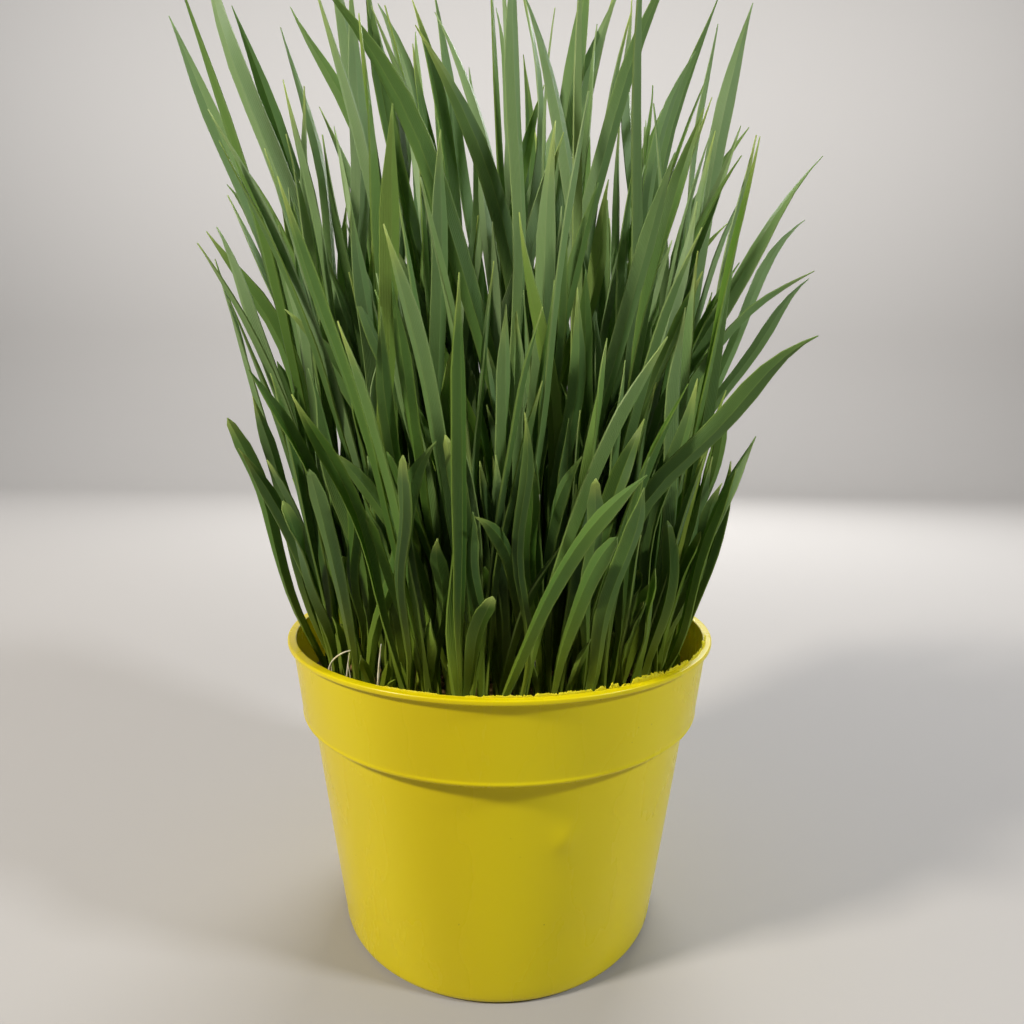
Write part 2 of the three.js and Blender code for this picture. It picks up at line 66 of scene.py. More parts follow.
# the three kinds of leaf on a shoot: the tall one that its sheath goes on as, and two that part from it
tallKind = {
    "length": (150, 240), "lean": (-3, 9), "width": (4.2, 6.4), "face": 55, "twist": 50, "aside": 0.5,
    "outline": "tall", "tries": 40,
}
secondKind = {
    "length": (80, 150), "lean": (3, 17), "width": (3.8, 5.8), "face": 50, "twist": 40, "aside": 1.5,
    "parts": (0.12, 0.24), "turned": 0.6, "outline": "side", "numberFrom": 0, "tries": 30,
}
firstKind = {
    **secondKind, "length": (45, 100), "lean": (6, 26), "width": (3.2, 4.8), "parts": (0.07, 0.15),
    "outline": "blunt", "numberFrom": 200,
}
sheathWidth = 2.5

# shares of a tall leaf's lean at its foot and its end, and where along each kind its bend is
bend = {"footLean": 0.55, "endLean": 1.25, "tallAt": 0.5, "sideAt": 0.45}

# where each kind of random draw starts
seeds = {"tall": 6011, "side": 467, "marked": 900}

# the stand opens outward and leans a little to the left, and towards the front its shoots are
# shorter and lean less
stand = {
    "open": 8.0, "openDraw": 3, "openPower": 1.3, "aside": 2.5, "spread": (6.5, 0.6),
    "frontFrom": -12.0, "frontTo": -40.0, "frontLength": 0.5, "frontLean": 0.5, "mouthReach": 64.8,
    "rimReach": 63.0, "flare": 0.2, "drift": 0.07,
}

# leaves are kept apart by comparing their sections at levels above the soil
clear = {
    "step": 2.0, "levels": 130, "thickness": 1.2, "partingHeight": 22.0, "knotHeight": 8.0,
    "overRim": 2.0, "near": 13.0, "lineSteps": 160, "mostLeaves": 1600,
}
levelNumbers = np.arange(clear["levels"])
levelHeights = soilTop + clear["step"] * levelNumbers

# leaves that give this pot its outline, from the back to the front:
# root x, root y, tip x, tip y, tip z, bow, outline, and face and width if they aren't 0 and 4.2
marked = [
    (-34, 8, -101, 25, 316, -0.01, "tall", 0, 7.2), (-30, 14, -93, 30, 299, 0.05, "tall", 0, 5.9),
    (-26, 20, -80, 40, 293, 0.01, "tall", 40), (-27, -7, -59, -10, 270, -0.07, "tall", -45),
    (-24, 24, -73, 30, 313, 0.07, "tall", 0, 5.3), (-20, 4, -55, 8, 300, 0.02, "tall", 0, 7.6),
    (-4, -14, -48, -30, 279, 0.23, "tall", 0, 6.7), (4, -4, -24, -16, 276, 0.21, "tall", 0, 6.4),
    (-6, 21, -24, 30, 308, 0.15, "tall", 25), (2, 17, -3, 22, 294, 0.11, "tall", -25),
    (-12, 34, -46, 45, 322, 0.11, "tall", 0, 7.6), (-44, 24, -102, 34, 261, 0.14, "tall", 0, 5.1),
    (-50, -4, -94, -5, 232, 0.14, "tall", 0, 6.6), (-54, -8, -91, -6, 214, 0.01, "tall", -20),
    (6, 30, 4, 35, 316, 0.17, "tall", 0, 4.6), (21, -6, 6, -10, 288, 0.16, "tall", 0, 4.6),
    (18, 22, 30, 34, 316, 0.10, "tall", 0, 7.6), (15, 35, 38, 30, 314, 0.15, "tall", 0, 7.6),
    (19, 42, 40, 46, 311, 0.09, "tall", 0, 4.8), (34, 36, 45, 40, 320, -0.06, "tall", 0, 6.7),
    (16, 6, 52, -4, 299, 0.17, "tall", 0, 5.4), (46, 24, 67, 34, 301, 0.12, "tall", 25),
    (40, 30, 75, 40, 319, 0.07, "tall", 0, 4.7), (40, 10, 67, 18, 274, 0.12, "tall", 40),
    (37, -3, 47, 2, 270, -0.11, "tall", -45), (48, 4, 77, 6, 300, 0.02, "tall", 0, 5.9),
    (53, 15, 85, 26, 272, 0.18, "tall", -35), (48, -10, 77, -4, 247, 0.09, "tall", 40),
    (50, 10, 77, 14, 244, 0.24, "tall", -50), (44, -19, 93, -20, 245, 0.21, "tall", 0, 5.5),
    (52, 10, 108, 26, 253, 0.14, "tall", 0, 4.3), (46, -26, 95, -14, 222, 0.29, "tall", 35),
    (54, 4, 104, 10, 227, 0.15, "tall"), (29, -45, 77, -60, 194, 0.22, "side", 0, 6.2),
    (26, -2, 34, 4, 249, -0.10, "tall", -35), (38, -10, 39, -18, 244, 0.20, "tall", 15),
    (35, -15, 57, -20, 240, 0.00, "tall", 0, 4.3), (42, -30, 54, -34, 211, 0.01, "tall", 0, 5.8),
    (24, -18, 25, -18, 220, -0.04, "tall", 0, 5.6), (-53, -15, -79, -30, 173, -0.04, "blunt", -15, 4.4),
    (-50, -26, -72, -40, 158, 0.13, "side", 45), (-26, -28, -60, -34, 201, 0.23, "tall", 0, 6.4),
    (-43, -32, -52, -38, 166, 0.10, "side", -55), (-15, -43, -45, -50, 164, 0.18, "side", 0, 4.3),
    (-35, -46, -15, -62, 163, 0.17, "side", 0, 5.1), (-15, -36, -13, -40, 187, 0.37, "blunt", 40, 4.4),
    (-6, -55, -13, -60, 163, 0.06, "blunt", -25, 4.4), (6, -50, -5, -72, 147, 0.41, "side", 30),
    (-15, -55, -14, -68, 138, 0.41, "side", 0, 4.4), (-39, -42, -49, -52, 158, 0.02, "blunt", -15, 4.4),
    (14, -46, 20, -66, 160, 0.36, "side", -60), (27, -39, 31, -40, 172, 0.12, "side", 50),
    (-4, -57, 32, -84, 158, 0.10, "side", -30), (19, -55, 35, -66, 155, -0.04, "side", 15, 5.2),
    (13, -54, 28, -72, 141, 0.16, "blunt", -50, 4.4), (1, -52, 16, -58, 134, 0.15, "side", 70),
    (19, -21, 17, -20, 183, 0.17, "side", -60), (12, -34, 21, -36, 200, -0.03, "side", 0, 5.1),
    (35, -36, 47, -36, 161, 0.12, "side", 60), (47, -32, 74, -30, 161, 0.09, "side", -40),
    (43, -30, 64, -44, 156, -0.04, "side", -50), (33, -44, 41, -54, 131, -0.10, "side", 60),
]

# share of a leaf's length, and its width there as a share of its full width
outlines = {
    "tall": [(0.17, 0), (0.36, 0.86), (0.6, 1), (0.84, 0.66)],
    "side": [(0.24, 0.84), (0.55, 1), (0.84, 0.7)],
    "blunt": [(0.25, 0.86), (0.62, 1), (0.93, 0.76)],
}


def drawFrom(seed):
    state = [seed]

    def draw(low, high):
        state[0] = state[0] * 48271 % 2147483647
        return low + (high - low) * (state[0] / 2147483647)

    draw(0, 1)
    draw(0, 1)
    return draw


def either(draw, reach):
    return draw(-reach, reach)


def onRing(radius, angle):
    return radius * cos(angle), radius * sin(angle)


tufts = [
    onRing(ring * tuft["ringStep"], (i + 0.5) * 2 * pi / count)
    for ring, count in enumerate(tuft["rings"]) for i in range(count)
]


# a leaf's middle line, its direction, the way across it and its width, at the shares t of its length
def pointsOn(leaf, t):
    t = np.asarray(t, float)[:, None]
    return (1 - t) ** 2 * leaf.root + 2 * t * (1 - t) * leaf.bend + t ** 2 * leaf.tip


def wayAlong(leaf, t):
    t = np.asarray(t, float)[:, None]
    way = (1 - t) * (leaf.bend - leaf.root) + t * (leaf.tip - leaf.bend)
    return way / norm(way, axis=1)[:, None]


def acrossAt(leaf, t):
    turn = np.radians(leaf.face + leaf.twist * np.asarray(t, float))
    across = np.stack([np.cos(turn), np.sin(turn), np.zeros_like(turn)], axis=1)
    way = wayAlong(leaf, t)
    across = across - way * (across * way).sum(axis=1)[:, None]
    return across / norm(across, axis=1)[:, None]


def widthAt(leaf, t):
    outline = outlines[leaf.outline]
    shares = [0.0] + [share for share, _ in outline] + [1.0]
    widths = [sheathWidth + (leaf.width - sheathWidth) * width for _, width in outline]
    return np.interp(t, shares, [sheathWidth] + widths + [0.0])


def asComplex(rows):
    return rows[:, 0] + 1j * rows[:, 1]


def sectionsOf(leaf):
    # at each level, as x + iy: where the middle line crosses it, from there to the edge, and the slope
    steps = clear["lineSteps"]
    sections = np.full((clear["levels"], 3), np.nan, complex)
    points = pointsOn(leaf, np.arange(steps + 1) / steps)
    after = np.searchsorted(points[:, 2], levelHeights, side="right")
    crossed = (after >= 1) & (after <= steps)
    crossed[0] = False
    after = after[crossed]
    low = points[after - 1]
    high = points[after]
    share = (levelHeights[crossed] - low[:, 2]) / (high[:, 2] - low[:, 2])
    t = (after - 1 + share) / steps
    across = acrossAt(leaf, t)
    way = wayAlong(leaf, t)
    slope = asComplex(way) / way[:, 2]
    sections[crossed, 0] = asComplex(low) + asComplex(high - low) * share
    sections[crossed, 1] = (asComplex(across) - across[:, 2] * slope) * widthAt(leaf, t) / 2
    sections[crossed, 2] = slope
    return sections


def pointToLine(point, a, b):
    share = np.clip(((point - a) * (b - a).conjugate()).real / abs(b - a) ** 2, 0, 1)
    return abs(point - a - share * (b - a))


def anyTouch(one, other, thickness):
    a, b, c, d = (leaf[:, 0] + sign * leaf[:, 1] for leaf in (one, other) for sign in (-1, 1))

    def side(p, q, r):
        return ((q - p).conjugate() * (r - p)).imag

    crossing = (side(a, b, c) * side(a, b, d) < 0) & (side(c, d, a) * side(c, d, b) < 0)
    room = np.minimum(pointToLine(a, c, d), pointToLine(b, c, d))
    room = np.minimum(room, np.minimum(pointToLine(c, a, b), pointToLine(d, a, b)))
    drift = abs(one[:, 2] - other[:, 2]) * clear["step"]
    tilt = 1 + 0.5 * abs(one[:, 2]) + 0.5 * abs(other[:, 2])
    return bool((crossing | (room < thickness * tilt + drift / 2)).any())


grown = []
grownSections = np.full((clear["mostLeaves"], clear["levels"], 3), np.nan, complex)


def isClear(leaf, thickness):
    sections = leaf.sections
    limit = stand["rimReach"] + stand["flare"] * (levelHeights - pot["height"])
    if leaf.marked:
        limit[:] = np.inf
    limit[levelHeights < pot["height"] + clear["overRim"]] = stand["mouthReach"]
    drift = stand["drift"] * np.maximum(0, levelHeights - pot["height"])
    for sign in (1, -1):
        if (abs(sections[:, 0] + sign * sections[:, 1] + drift) >= limit).any():
            return False
    if not grown or thickness < 0:
        return True
    freeFrom = np.array([
        leaf.root[2] + clear["partingHeight"] if other.shoot == leaf.shoot
        else soilTop + clear["knotHeight"] * (other.tuft == leaf.tuft)
        for other in grown])
    firstLevel = np.maximum(1, np.ceil((freeFrom - soilTop) / clear["step"]))
    others = grownSections[:len(grown)]
    near = abs(others[:, :, 0] - sections[:, 0]) <= clear["near"]
    which, level = np.nonzero(near & (levelNumbers >= firstLevel[:, None]))
    return not (len(which) and anyTouch(sections[level], others[which, level], thickness))


def growFirstClear(candidate, tries, thickness=clear["thickness"]):
    for attempt in range(tries):
        leaf = candidate(attempt)
        leaf.sections = sectionsOf(leaf)
        if isClear(leaf, thickness):
            grownSections[len(grown)] = leaf.sections
            grown.append(leaf)
            return leaf
    return None


def unit(lean, azimuth):
    return np.array([*onRing(sin(radians(lean)), azimuth), cos(radians(lean))])


def newLeaf(draw, index, shoot, root, length, bendAt, start, end, azimuth, kind):
    corner = root + bendAt * length * start
    tip = corner + (1 - bendAt) * length * end
    width = draw(*kind["width"])
    face = degrees(azimuth) + 90 + either(draw, kind["face"])
    return SimpleNamespace(
        tuft=index, shoot=shoot, root=root, bend=corner, tip=tip, outline=kind["outline"], width=width,
        face=face, twist=either(draw, kind["twist"]), marked=False, parted="parts" in kind)


def nearestTuft(x, y):
    away = [hypot(x - tuftX, y - tuftY) for tuftX, tuftY in tufts]
    return away.index(min(away)), min(away)


def markedLeaf(number, rootX, rootY, tipX, tipY, tipZ, bow, outline, face=0, width=4.2):
    index, away = nearestTuft(rootX, rootY)
    pull = min(1, tuft["rootReach"] / away)
    middle = tufts[index]
    x = middle[0] + pull * (rootX - middle[0])
    y = middle[1] + pull * (rootY - middle[1])
    root = np.array([x, y, soilTop - tuft["rootDepth"]])
    tip = np.array([tipX, tipY, tipZ], float)
    reach = tip - root
    above = np.array([-reach[0] * reach[2], -reach[1] * reach[2], reach[0] ** 2 + reach[1] ** 2])
    above *= bow * norm(reach) / norm(above)
    twist = either(drawFrom(seeds["marked"] + 37 * number), 25)
    return SimpleNamespace(
        tuft=index, shoot=number, root=root, bend=(root + tip) / 2 + above, tip=tip, outline=outline,
        width=width, face=face, twist=twist, marked=True, parted=False)


def frontShare(y, atFront):
    toFront = min(1, max(0, (y - stand["frontFrom"]) / (stand["frontTo"] - stand["frontFrom"])))
    return 1 + (atFront - 1) * toFront


def tallLeaf(middle, index, shoot, attempt):
    draw = drawFrom(seeds["tall"] + 7919 * index + 617 * shoot + 31 * attempt)
    turn = shoot / tuft["shoots"] * 2 * pi + index * tuft["shootTurn"]
    turn += either(draw, tuft["aroundDraw"])
    ring = onRing(min(tuft["rootReach"], tuft["shootRing"] * draw(*tuft["ringDraw"])), turn)
    x = middle[0] + ring[0]
    y = middle[1] + ring[1]
    away = atan2(y, x)
    radius = hypot(x, y) / (tuft["ringStep"] * (len(tuft["rings"]) - 1))
    length = draw(*tallKind["length"]) * frontShare(y, stand["frontLength"])
    scatter = stand["spread"][0] + attempt * stand["spread"][1]
    opening = stand["open"] * radius ** stand["openPower"] + either(draw, stand["openDraw"])
    leanX = opening * cos(away) - stand["aside"] + either(draw, scatter)
    leanY = (opening * sin(away) + either(draw, scatter)) * frontShare(y, stand["frontLean"])
    azimuth = atan2(leanY, leanX)
    tilt = hypot(leanX, leanY)
    start = unit(tilt * bend["footLean"], azimuth)
    endLean = tilt * bend["endLean"] + draw(*tallKind["lean"])
    end = unit(endLean, azimuth + either(draw, tallKind["aside"]))
    root = np.array([x, y, soilTop - tuft["rootDepth"]])
    number = 100 + 4 * index + shoot
    return newLeaf(draw, index, number, root, length, bend["tallAt"], start, end, azimuth, tallKind)


def sideLeaf(draw, parent, kind, attempt=0):
    parting = draw(*kind["parts"])
    root = pointsOn(parent, [parting])[0]
    away = atan2(parent.root[1], parent.root[0])
    azimuth = away + either(draw, kind["aside"]) * (1 + attempt / 8)
    length = draw(*kind["length"])
    end = unit(draw(*kind["lean"]), azimuth)
    start = wayAlong(parent, [parting])[0] * (1 - kind["turned"]) + end * kind["turned"]
    start /= norm(start)
    return newLeaf(
        draw, parent.tuft, parent.shoot, root, length, bend["sideAt"], start, end, azimuth, kind)


def shootLeaf(parent, kind, number, attempt):
    seed = seeds["side"] + 523 * (number + kind["numberFrom"]) + 41 * attempt + 7919 * parent.tuft
    return sideLeaf(drawFrom(seed), parent, kind, attempt)


def growGrass():
    for number, row in enumerate(marked):
        growFirstClear(lambda attempt: markedLeaf(number, *row), 1)
    shoots = []
    for shoot in range(tuft["shoots"]):
        for index, middle in enumerate(tufts):
            shoots.append(growFirstClear(
                lambda attempt: tallLeaf(middle, index, shoot, attempt), tallKind["tries"]))
    shoots = [leaf for leaf in shoots if leaf]
    for kind in (secondKind, firstKind):
        for number, parent in enumerate(shoots):
            growFirstClear(lambda attempt: shootLeaf(parent, kind, number, attempt), kind["tries"])
    return shoots


shoots = growGrass()
print("leaves as in the CAD:", len(grown))


# leaves that only thicken the stand: slimmer, and allowed closer together
fill = {
    "seed": 41, "soilReach": 60.0, "rootDepth": 3, "width": (3.2, 6.0), "thickness": 0.55,
    "tries": 7,
}
fillTallKind = {
    "count": 260, "length": (110, 230), "open": 10, "lean": (-8, 9), "endLean": (-2, 8), "aside": 0.7,
    "endAside": 0.6, "width": fill["width"], "face": 70, "twist": 60, "outline": "tall",
}
fillSideKind = {
    "count": 420, "length": (50, 140), "lean": (2, 22), "width": fill["width"], "face": 60, "twist": 45,
    "aside": 2.0, "parts": (0.06, 0.3), "turned": 0.4, "outline": "side",
}
fillShortKind = {**fillSideKind, "count": 260, "length": (22, 75), "outline": "blunt"}
spikeKind = {"count": 150, "length": (12, 38), "lean": (0, 12), "endLean": (2, 28), "width": (1.6, 2.8)}

# tall and side leaves that stand out inside the stand, as in the list above
markedInside = [
    (-18, -24, -44, -26, 213, 0.07, "tall", 40), (-20, -5, -45, 0, 251, 0.10, "tall", 0, 4.7),
    (-20, -20, -39, -16, 220, 0.08, "tall", 0, 5.0), (-14, -8, -36, -6, 231, 0.15, "tall", -20),
    (-18, 4, -37, 4, 222, 0.20, "tall", 15), (0, 12, -9, 14, 235, -0.06, "tall", -45),
    (-2, -20, 18, -12, 255, 0.05, "tall", 0, 5.0), (-9, -10, 18, 0, 263, 0.08, "tall", 0, 6.6),
    (21, 11, 47, 14, 234, -0.08, "tall", 0, 5.0), (18, -24, 44, -22, 202, -0.09, "side"),
    (4, -18, 14, -16, 213, 0.00, "tall", 40), (11, 3, 19, 4, 234, -0.02, "tall", 0, 4.8),
    (44, -32, 63, -36, 153, 0.00, "side", 0, 4.3), (40, -24, 63, -26, 160, -0.09, "side", 50),
    (36, -42, 46, -44, 139, -0.12, "blunt", -35, 4.4), (-48, -20, -73, -26, 180, -0.05, "side", 20),
    (-38, -4, -74, -4, 182, -0.05, "side", -45), (-29, -4, -59, 0, 225, 0.08, "tall", 40),
    (-12, 10, -45, 18, 307, -0.02, "tall", 0, 5.0), (2, -46, -1, -44, 155, 0.04, "side", -60),
    (14, -46, 19, -40, 168, 0.02, "side", 40), (44, -20, 69, -24, 155, -0.13, "side", -50),
    (-30, -40, -37, -38, 156, 0.09, "side", 50), (-24, -48, -29, -46, 149, 0.13, "side", -60),
    (-33, -50, -29, -53, 100.5, 0.05, "side", 20, 2.2),
    (-29, -51, -25.5, -53, 101, 0.03, "side", -30, 2.0),
    (-30, -50, -27, -54, 98, 0.08, "side", 10, 1.8), (-34, -49, -36.5, -52, 103, 0.05, "side", 0, 2.4),
    (-12, -52, -11, -54, 107, 0.04, "side", 20, 2.6),
]


def fillTall(draw, number):
    kind = fillTallKind
    radius = fill["soilReach"] * sqrt(draw(0, 1))
    around = draw(0, 2 * pi)
    x, y = onRing(radius, around)
    lean = kind["open"] * (radius / fill["soilReach"]) ** stand["openPower"] + draw(*kind["lean"])
    lean *= frontShare(y, stand["frontLean"])
    azimuth = around + either(draw, kind["aside"])
    length = draw(*kind["length"]) * frontShare(y, stand["frontLength"])
    root = np.array([x, y, soilTop - fill["rootDepth"]])
    start = unit(lean * 0.5, azimuth)
    endLean = lean * bend["endLean"] + draw(*kind["endLean"])
    end = unit(endLean, azimuth + either(draw, kind["endAside"]))
    return newLeaf(draw, nearestTuft(x, y)[0], 400 + number, root, length, 0.5, start, end, azimuth, kind)


def fillSpike(draw, number):
    leaf = fillTall(draw, 700 + number)
    length = draw(*spikeKind["length"])
    leaf.bend = leaf.root + 0.5 * length * unit(draw(*spikeKind["lean"]), draw(0, 6.28))
    leaf.tip = leaf.bend + 0.5 * length * unit(draw(*spikeKind["endLean"]), draw(0, 6.28))
    leaf.outline = "side"
    leaf.width = draw(*spikeKind["width"])
    return leaf


def growFill():
    for number, row in enumerate(markedInside):
        growFirstClear(lambda attempt: markedLeaf(300 + number, *row), 1, -1)
    draw = drawFrom(fill["seed"])

    def grow(kind, candidate):
        leaves = []
        for number in range(kind["count"]):
            leaf = growFirstClear(lambda attempt: candidate(number), fill["tries"], fill["thickness"])
            if leaf:
                leaves.append(leaf)
        return leaves

    parents = shoots + grow(fillTallKind, lambda number: fillTall(draw, number))
    for kind in (fillSideKind, fillShortKind):
        grow(kind, lambda number: sideLeaf(draw, parents[int(draw(0, len(parents) - 0.01))], kind))
    grow(spikeKind, lambda number: fillSpike(draw, number))


growFill()
print("leaves with the filling ones:", len(grown))


def linear(hexText):
    values = [int(hexText[i:i + 2], 16) / 255 for i in (1, 3, 5)]
    return tuple(v / 12.92 if v <= 0.04045 else ((v + 0.055) / 1.055) ** 2.4 for v in values) + (1.0,)


def add(tree, kind, inputs=None, **settings):
    made = tree.nodes.new(kind)
    for name, value in settings.items():
        setattr(made, name, value)
    for key, value in (inputs or {}).items():
        if isinstance(value, bpy.types.NodeSocket):
            tree.links.new(value, made.inputs[key])
        else:
            made.inputs[key].default_value = value
    return made


def setStops(ramp, stops):
    band = ramp.color_ramp
    while len(band.elements) < len(stops):
        band.elements.new(0.5)
    for element, (place, colour) in zip(band.elements, stops):
        element.position = place
        element.color = linear(colour)
    return ramp.outputs["Color"]


def mixed(tree, share, a, b):
    mix = add(tree, "ShaderNodeMix", data_type="RGBA")
    for index, value in ((0, share), (6, a), (7, b)):
        if isinstance(value, bpy.types.NodeSocket):
            tree.links.new(value, mix.inputs[index])
        else:
            mix.inputs[index].default_value = linear(value) if isinstance(value, str) else value
    return mix.outputs[2]


def maths(tree, operation, a, b=0.0, clamp=False):
    return add(tree, "ShaderNodeMath", {0: a, 1: b}, operation=operation, use_clamp=clamp).outputs[0]


def spread(tree, value, low, high, toLow=0.0, toHigh=1.0):
    ends = {"Value": value, "From Min": low, "From Max": high, "To Min": toLow, "To Max": toHigh}
    return add(tree, "ShaderNodeMapRange", ends, interpolation_type="SMOOTHSTEP").outputs[0]


def attribute(tree, name):
    return add(tree, "ShaderNodeAttribute", attribute_name=name).outputs["Fac"]


def newMaterial(name, settings):
    material = bpy.data.materials.new(name)
    material.use_nodes = True
    tree = material.node_tree
    shader = tree.nodes["Principled BSDF"]
    for key, value in settings.items():
        shader.inputs[key].default_value = linear(value) if isinstance(value, str) else value
    return material, tree, shader


def noiseAt(tree, scale, detail=3.0, stretch=(1, 1, 1)):
    coordinates = add(tree, "ShaderNodeTexCoord").outputs["Object"]
    mapping = add(tree, "ShaderNodeMapping", {"Vector": coordinates, "Scale": stretch}).outputs[0]
    return add(tree, "ShaderNodeTexNoise", {"Vector": mapping, "Scale": scale, "Detail": detail}).outputs[0]


def raised(tree, shader, height, strength, distance):
    bump = add(tree, "ShaderNodeBump", {"Height": height, "Strength": strength, "Distance": distance})
    tree.links.new(bump.outputs[0], shader.inputs["Normal"])
    return bump.outputs[0]


def lightThrough(tree, shader, share, inputs):
    through = add(tree, "ShaderNodeBsdfTranslucent", inputs)
    both = add(tree, "ShaderNodeMixShader", {0: share, 1: shader.outputs[0], 2: through.outputs[0]})
    tree.links.new(both.outputs[0], tree.nodes["Material Output"].inputs["Surface"])


plasticLooks = {
    "colours": ("#D2BE04", "#DCCB0A"), "dust": "#5A4A12", "dustShare": 0.45,
    "roughness": (0.25, 0.31), "thin": "#FFF636", "thinThrough": "#FFF84C", "thinShare": 0.55,
}


def mouldedPolypropylene():
    # injection-moulded polypropylene with pigment: an even saturated yellow under a soft gloss,
    # slightly see-through where it is thin, with faint flow marks, dust and a few rubs
    material, tree, shader = newMaterial("mouldedPolypropylene", {
        "IOR": 1.49, "Specular IOR Level": 0.24, "Subsurface Weight": 0.06, "Subsurface Scale": 0.001,
        "Subsurface Radius": (1.0, 0.75, 0.05),
    })
    flow = noiseAt(tree, 14, 2, (1, 1, 0.2))
    colour = mixed(tree, spread(tree, flow, 0.3, 0.7), *plasticLooks["colours"])
    specks = spread(tree, noiseAt(tree, 850, 1), 0.8, 0.84, 0, plasticLooks["dustShare"])
    colour = mixed(tree, specks, colour, plasticLooks["dust"])
    tree.links.new(colour, shader.inputs["Base Color"])
    rubs = noiseAt(tree, 60, 4, (1, 1, 0.3))
    tree.links.new(spread(tree, rubs, 0.3, 0.75, *plasticLooks["roughness"]), shader.inputs["Roughness"])
    raised(tree, shader, noiseAt(tree, 700, 2), 0.04, 0.0004)
    return material


def thinPolypropylene():
    # the same plastic drawn out paper-thin: light comes through it, so its torn edge glows
    material, tree, shader = newMaterial("thinPolypropylene", {
        "Base Color": plasticLooks["thin"], "Roughness": 0.35, "IOR": 1.49, "Specular IOR Level": 0.4,
    })
    lightThrough(tree, shader, plasticLooks["thinShare"], {"Color": linear(plasticLooks["thinThrough"])})
    return material


# what goes from height to height, in metres, and from how strong to how strong, with its colour
leafLooks = {
    "greens": [
        (0.0, "#1A3604"), (0.25, "#2A520A"), (0.55, "#406C12"), (0.8, "#5E841A"), (0.93, "#76981E"),
        (1.0, "#A2B43A"),
    ],
    # the first heights and green below are painted light that lightens the leaves towards the top; the wax
    # heights add a painted sheen to the real bloom, growing upwards
    "paintedLightUpper": (0.108, 0.18, 0.0, 0.32), "paintedLightGreen": "#76A244", "waxAndSheen": (0.092, 0.26, 0.12, 1.0),
    "waxAndSheenGreen": "#A2BE88", "waxUnder": 0.2, "sheath": (0.08, 0.128, 0.85, 0.0),
    "sheathGreen": "#9AA62A", "veins": 44.0, "veinShare": 0.14, "veinGreen": "#22380C",
    "edgeShare": 0.5, "ribShare": 0.35, "edgeGreens": ("#8FA83A", "#B4C698"), "tipGreen": "#C4D470",
    "blotchShare": 0.25, "blotchGreen": "#6E9030", "through": 0.33, "throughGreen": "#88B000", "glow": 0.6,
    "roughness": (0.38, 0.52), "edgePower": 8.0, "ribReach": 0.12, "tipFrom": 0.88,
}


def wheatLeaf():
    # a wheat leaf: green with fine lengthwise veins under a grey bloom of wax, whose paling upwards is a
    # painted sheen, lightened towards the top by painted light, lighter along its rib and edges,
    # yellow-green at its sheath, and light shines through it
    material, tree, shader = newMaterial("wheatLeaf", {"IOR": 1.42, "Specular IOR Level": 0.26})
    looks = leafLooks
    across = attribute(tree, "across")
    colour = setStops(add(tree, "ShaderNodeValToRGB", {0: attribute(tree, "tint")}), looks["greens"])
    place = add(tree, "ShaderNodeTexCoord").outputs["Object"]
    height = add(tree, "ShaderNodeSeparateXYZ", {0: place}).outputs["Z"]
    # painted light: the leaves lighter towards the top, where more light falls
    colour = mixed(tree, spread(tree, height, *looks["paintedLightUpper"]), colour, looks["paintedLightGreen"])
    under = maths(tree, "MULTIPLY", attribute(tree, "under"), looks["waxUnder"])
    # the real wax bloom of each leaf and its paler underside, with a painted sheen that grows upwards
    waxAndSheen = maths(tree, "ADD", attribute(tree, "bloom"), under)
    waxAndSheen = maths(tree, "MULTIPLY", waxAndSheen, spread(tree, height, *looks["waxAndSheen"]), clamp=True)
    colour = mixed(tree, waxAndSheen, colour, looks["waxAndSheenGreen"])
    colour = mixed(tree, spread(tree, height, *looks["sheath"]), colour, looks["sheathGreen"])
    veins = maths(tree, "SINE", maths(tree, "MULTIPLY", across, looks["veins"]))
    colour = mixed(tree, spread(tree, veins, -1, 1, 0.0, looks["veinShare"]), colour, looks["veinGreen"])
    reach = maths(tree, "ABSOLUTE", across)
    edge = maths(tree, "MULTIPLY", maths(tree, "POWER", reach, looks["edgePower"]), looks["edgeShare"])
    rib = spread(tree, reach, 0.0, looks["ribReach"], looks["ribShare"], 0.0)
    light = maths(tree, "ADD", edge, rib, clamp=True)
    colour = mixed(tree, light, colour, mixed(tree, waxAndSheen, *looks["edgeGreens"]))
    end = spread(tree, attribute(tree, "along"), looks["tipFrom"], 1.0)
    colour = mixed(tree, maths(tree, "MULTIPLY", attribute(tree, "pale"), end), colour, looks["tipGreen"])
    blotches = noiseAt(tree, 90, 3, (1, 1, 0.2))
    patches = spread(tree, blotches, 0.3, 0.75, 0.0, looks["blotchShare"])
    colour = mixed(tree, patches, colour, looks["blotchGreen"])
    tree.links.new(colour, shader.inputs["Base Color"])
    tree.links.new(spread(tree, blotches, 0.3, 0.7, *looks["roughness"]), shader.inputs["Roughness"])
    normal = raised(tree, shader, veins, 0.25, 0.0002)
    glow = mixed(tree, looks["glow"], colour, looks["throughGreen"])
    lightThrough(tree, shader, looks["through"], {"Color": glow, "Normal": normal})
    return material


def plainNatural(name, low, high, scale, roughness, bumpStrength):
    material, tree, shader = newMaterial(name, {"Roughness": roughness, "IOR": 1.4})
    mottle = noiseAt(tree, scale, 5)
    tree.links.new(mixed(tree, spread(tree, mottle, 0.3, 0.7), low, high), shader.inputs["Base Color"])
    raised(tree, shader, mottle, bumpStrength, 0.001)
    return material


plastic = mouldedPolypropylene()
thinPlastic = thinPolypropylene()
leafGreen = wheatLeaf()
# sprouted wheat grain: a dull tan husk, darker in its crease
grainHusk = plainNatural("grainHusk", "#7A5B2C", "#B8955A", 500, 0.7, 0.4)
# the felt of roots round the grain: off-white threads stained by the soil
rootFelt = plainNatural("rootFelt", "#2A1D12", "#6B5438", 700, 0.85, 0.9)
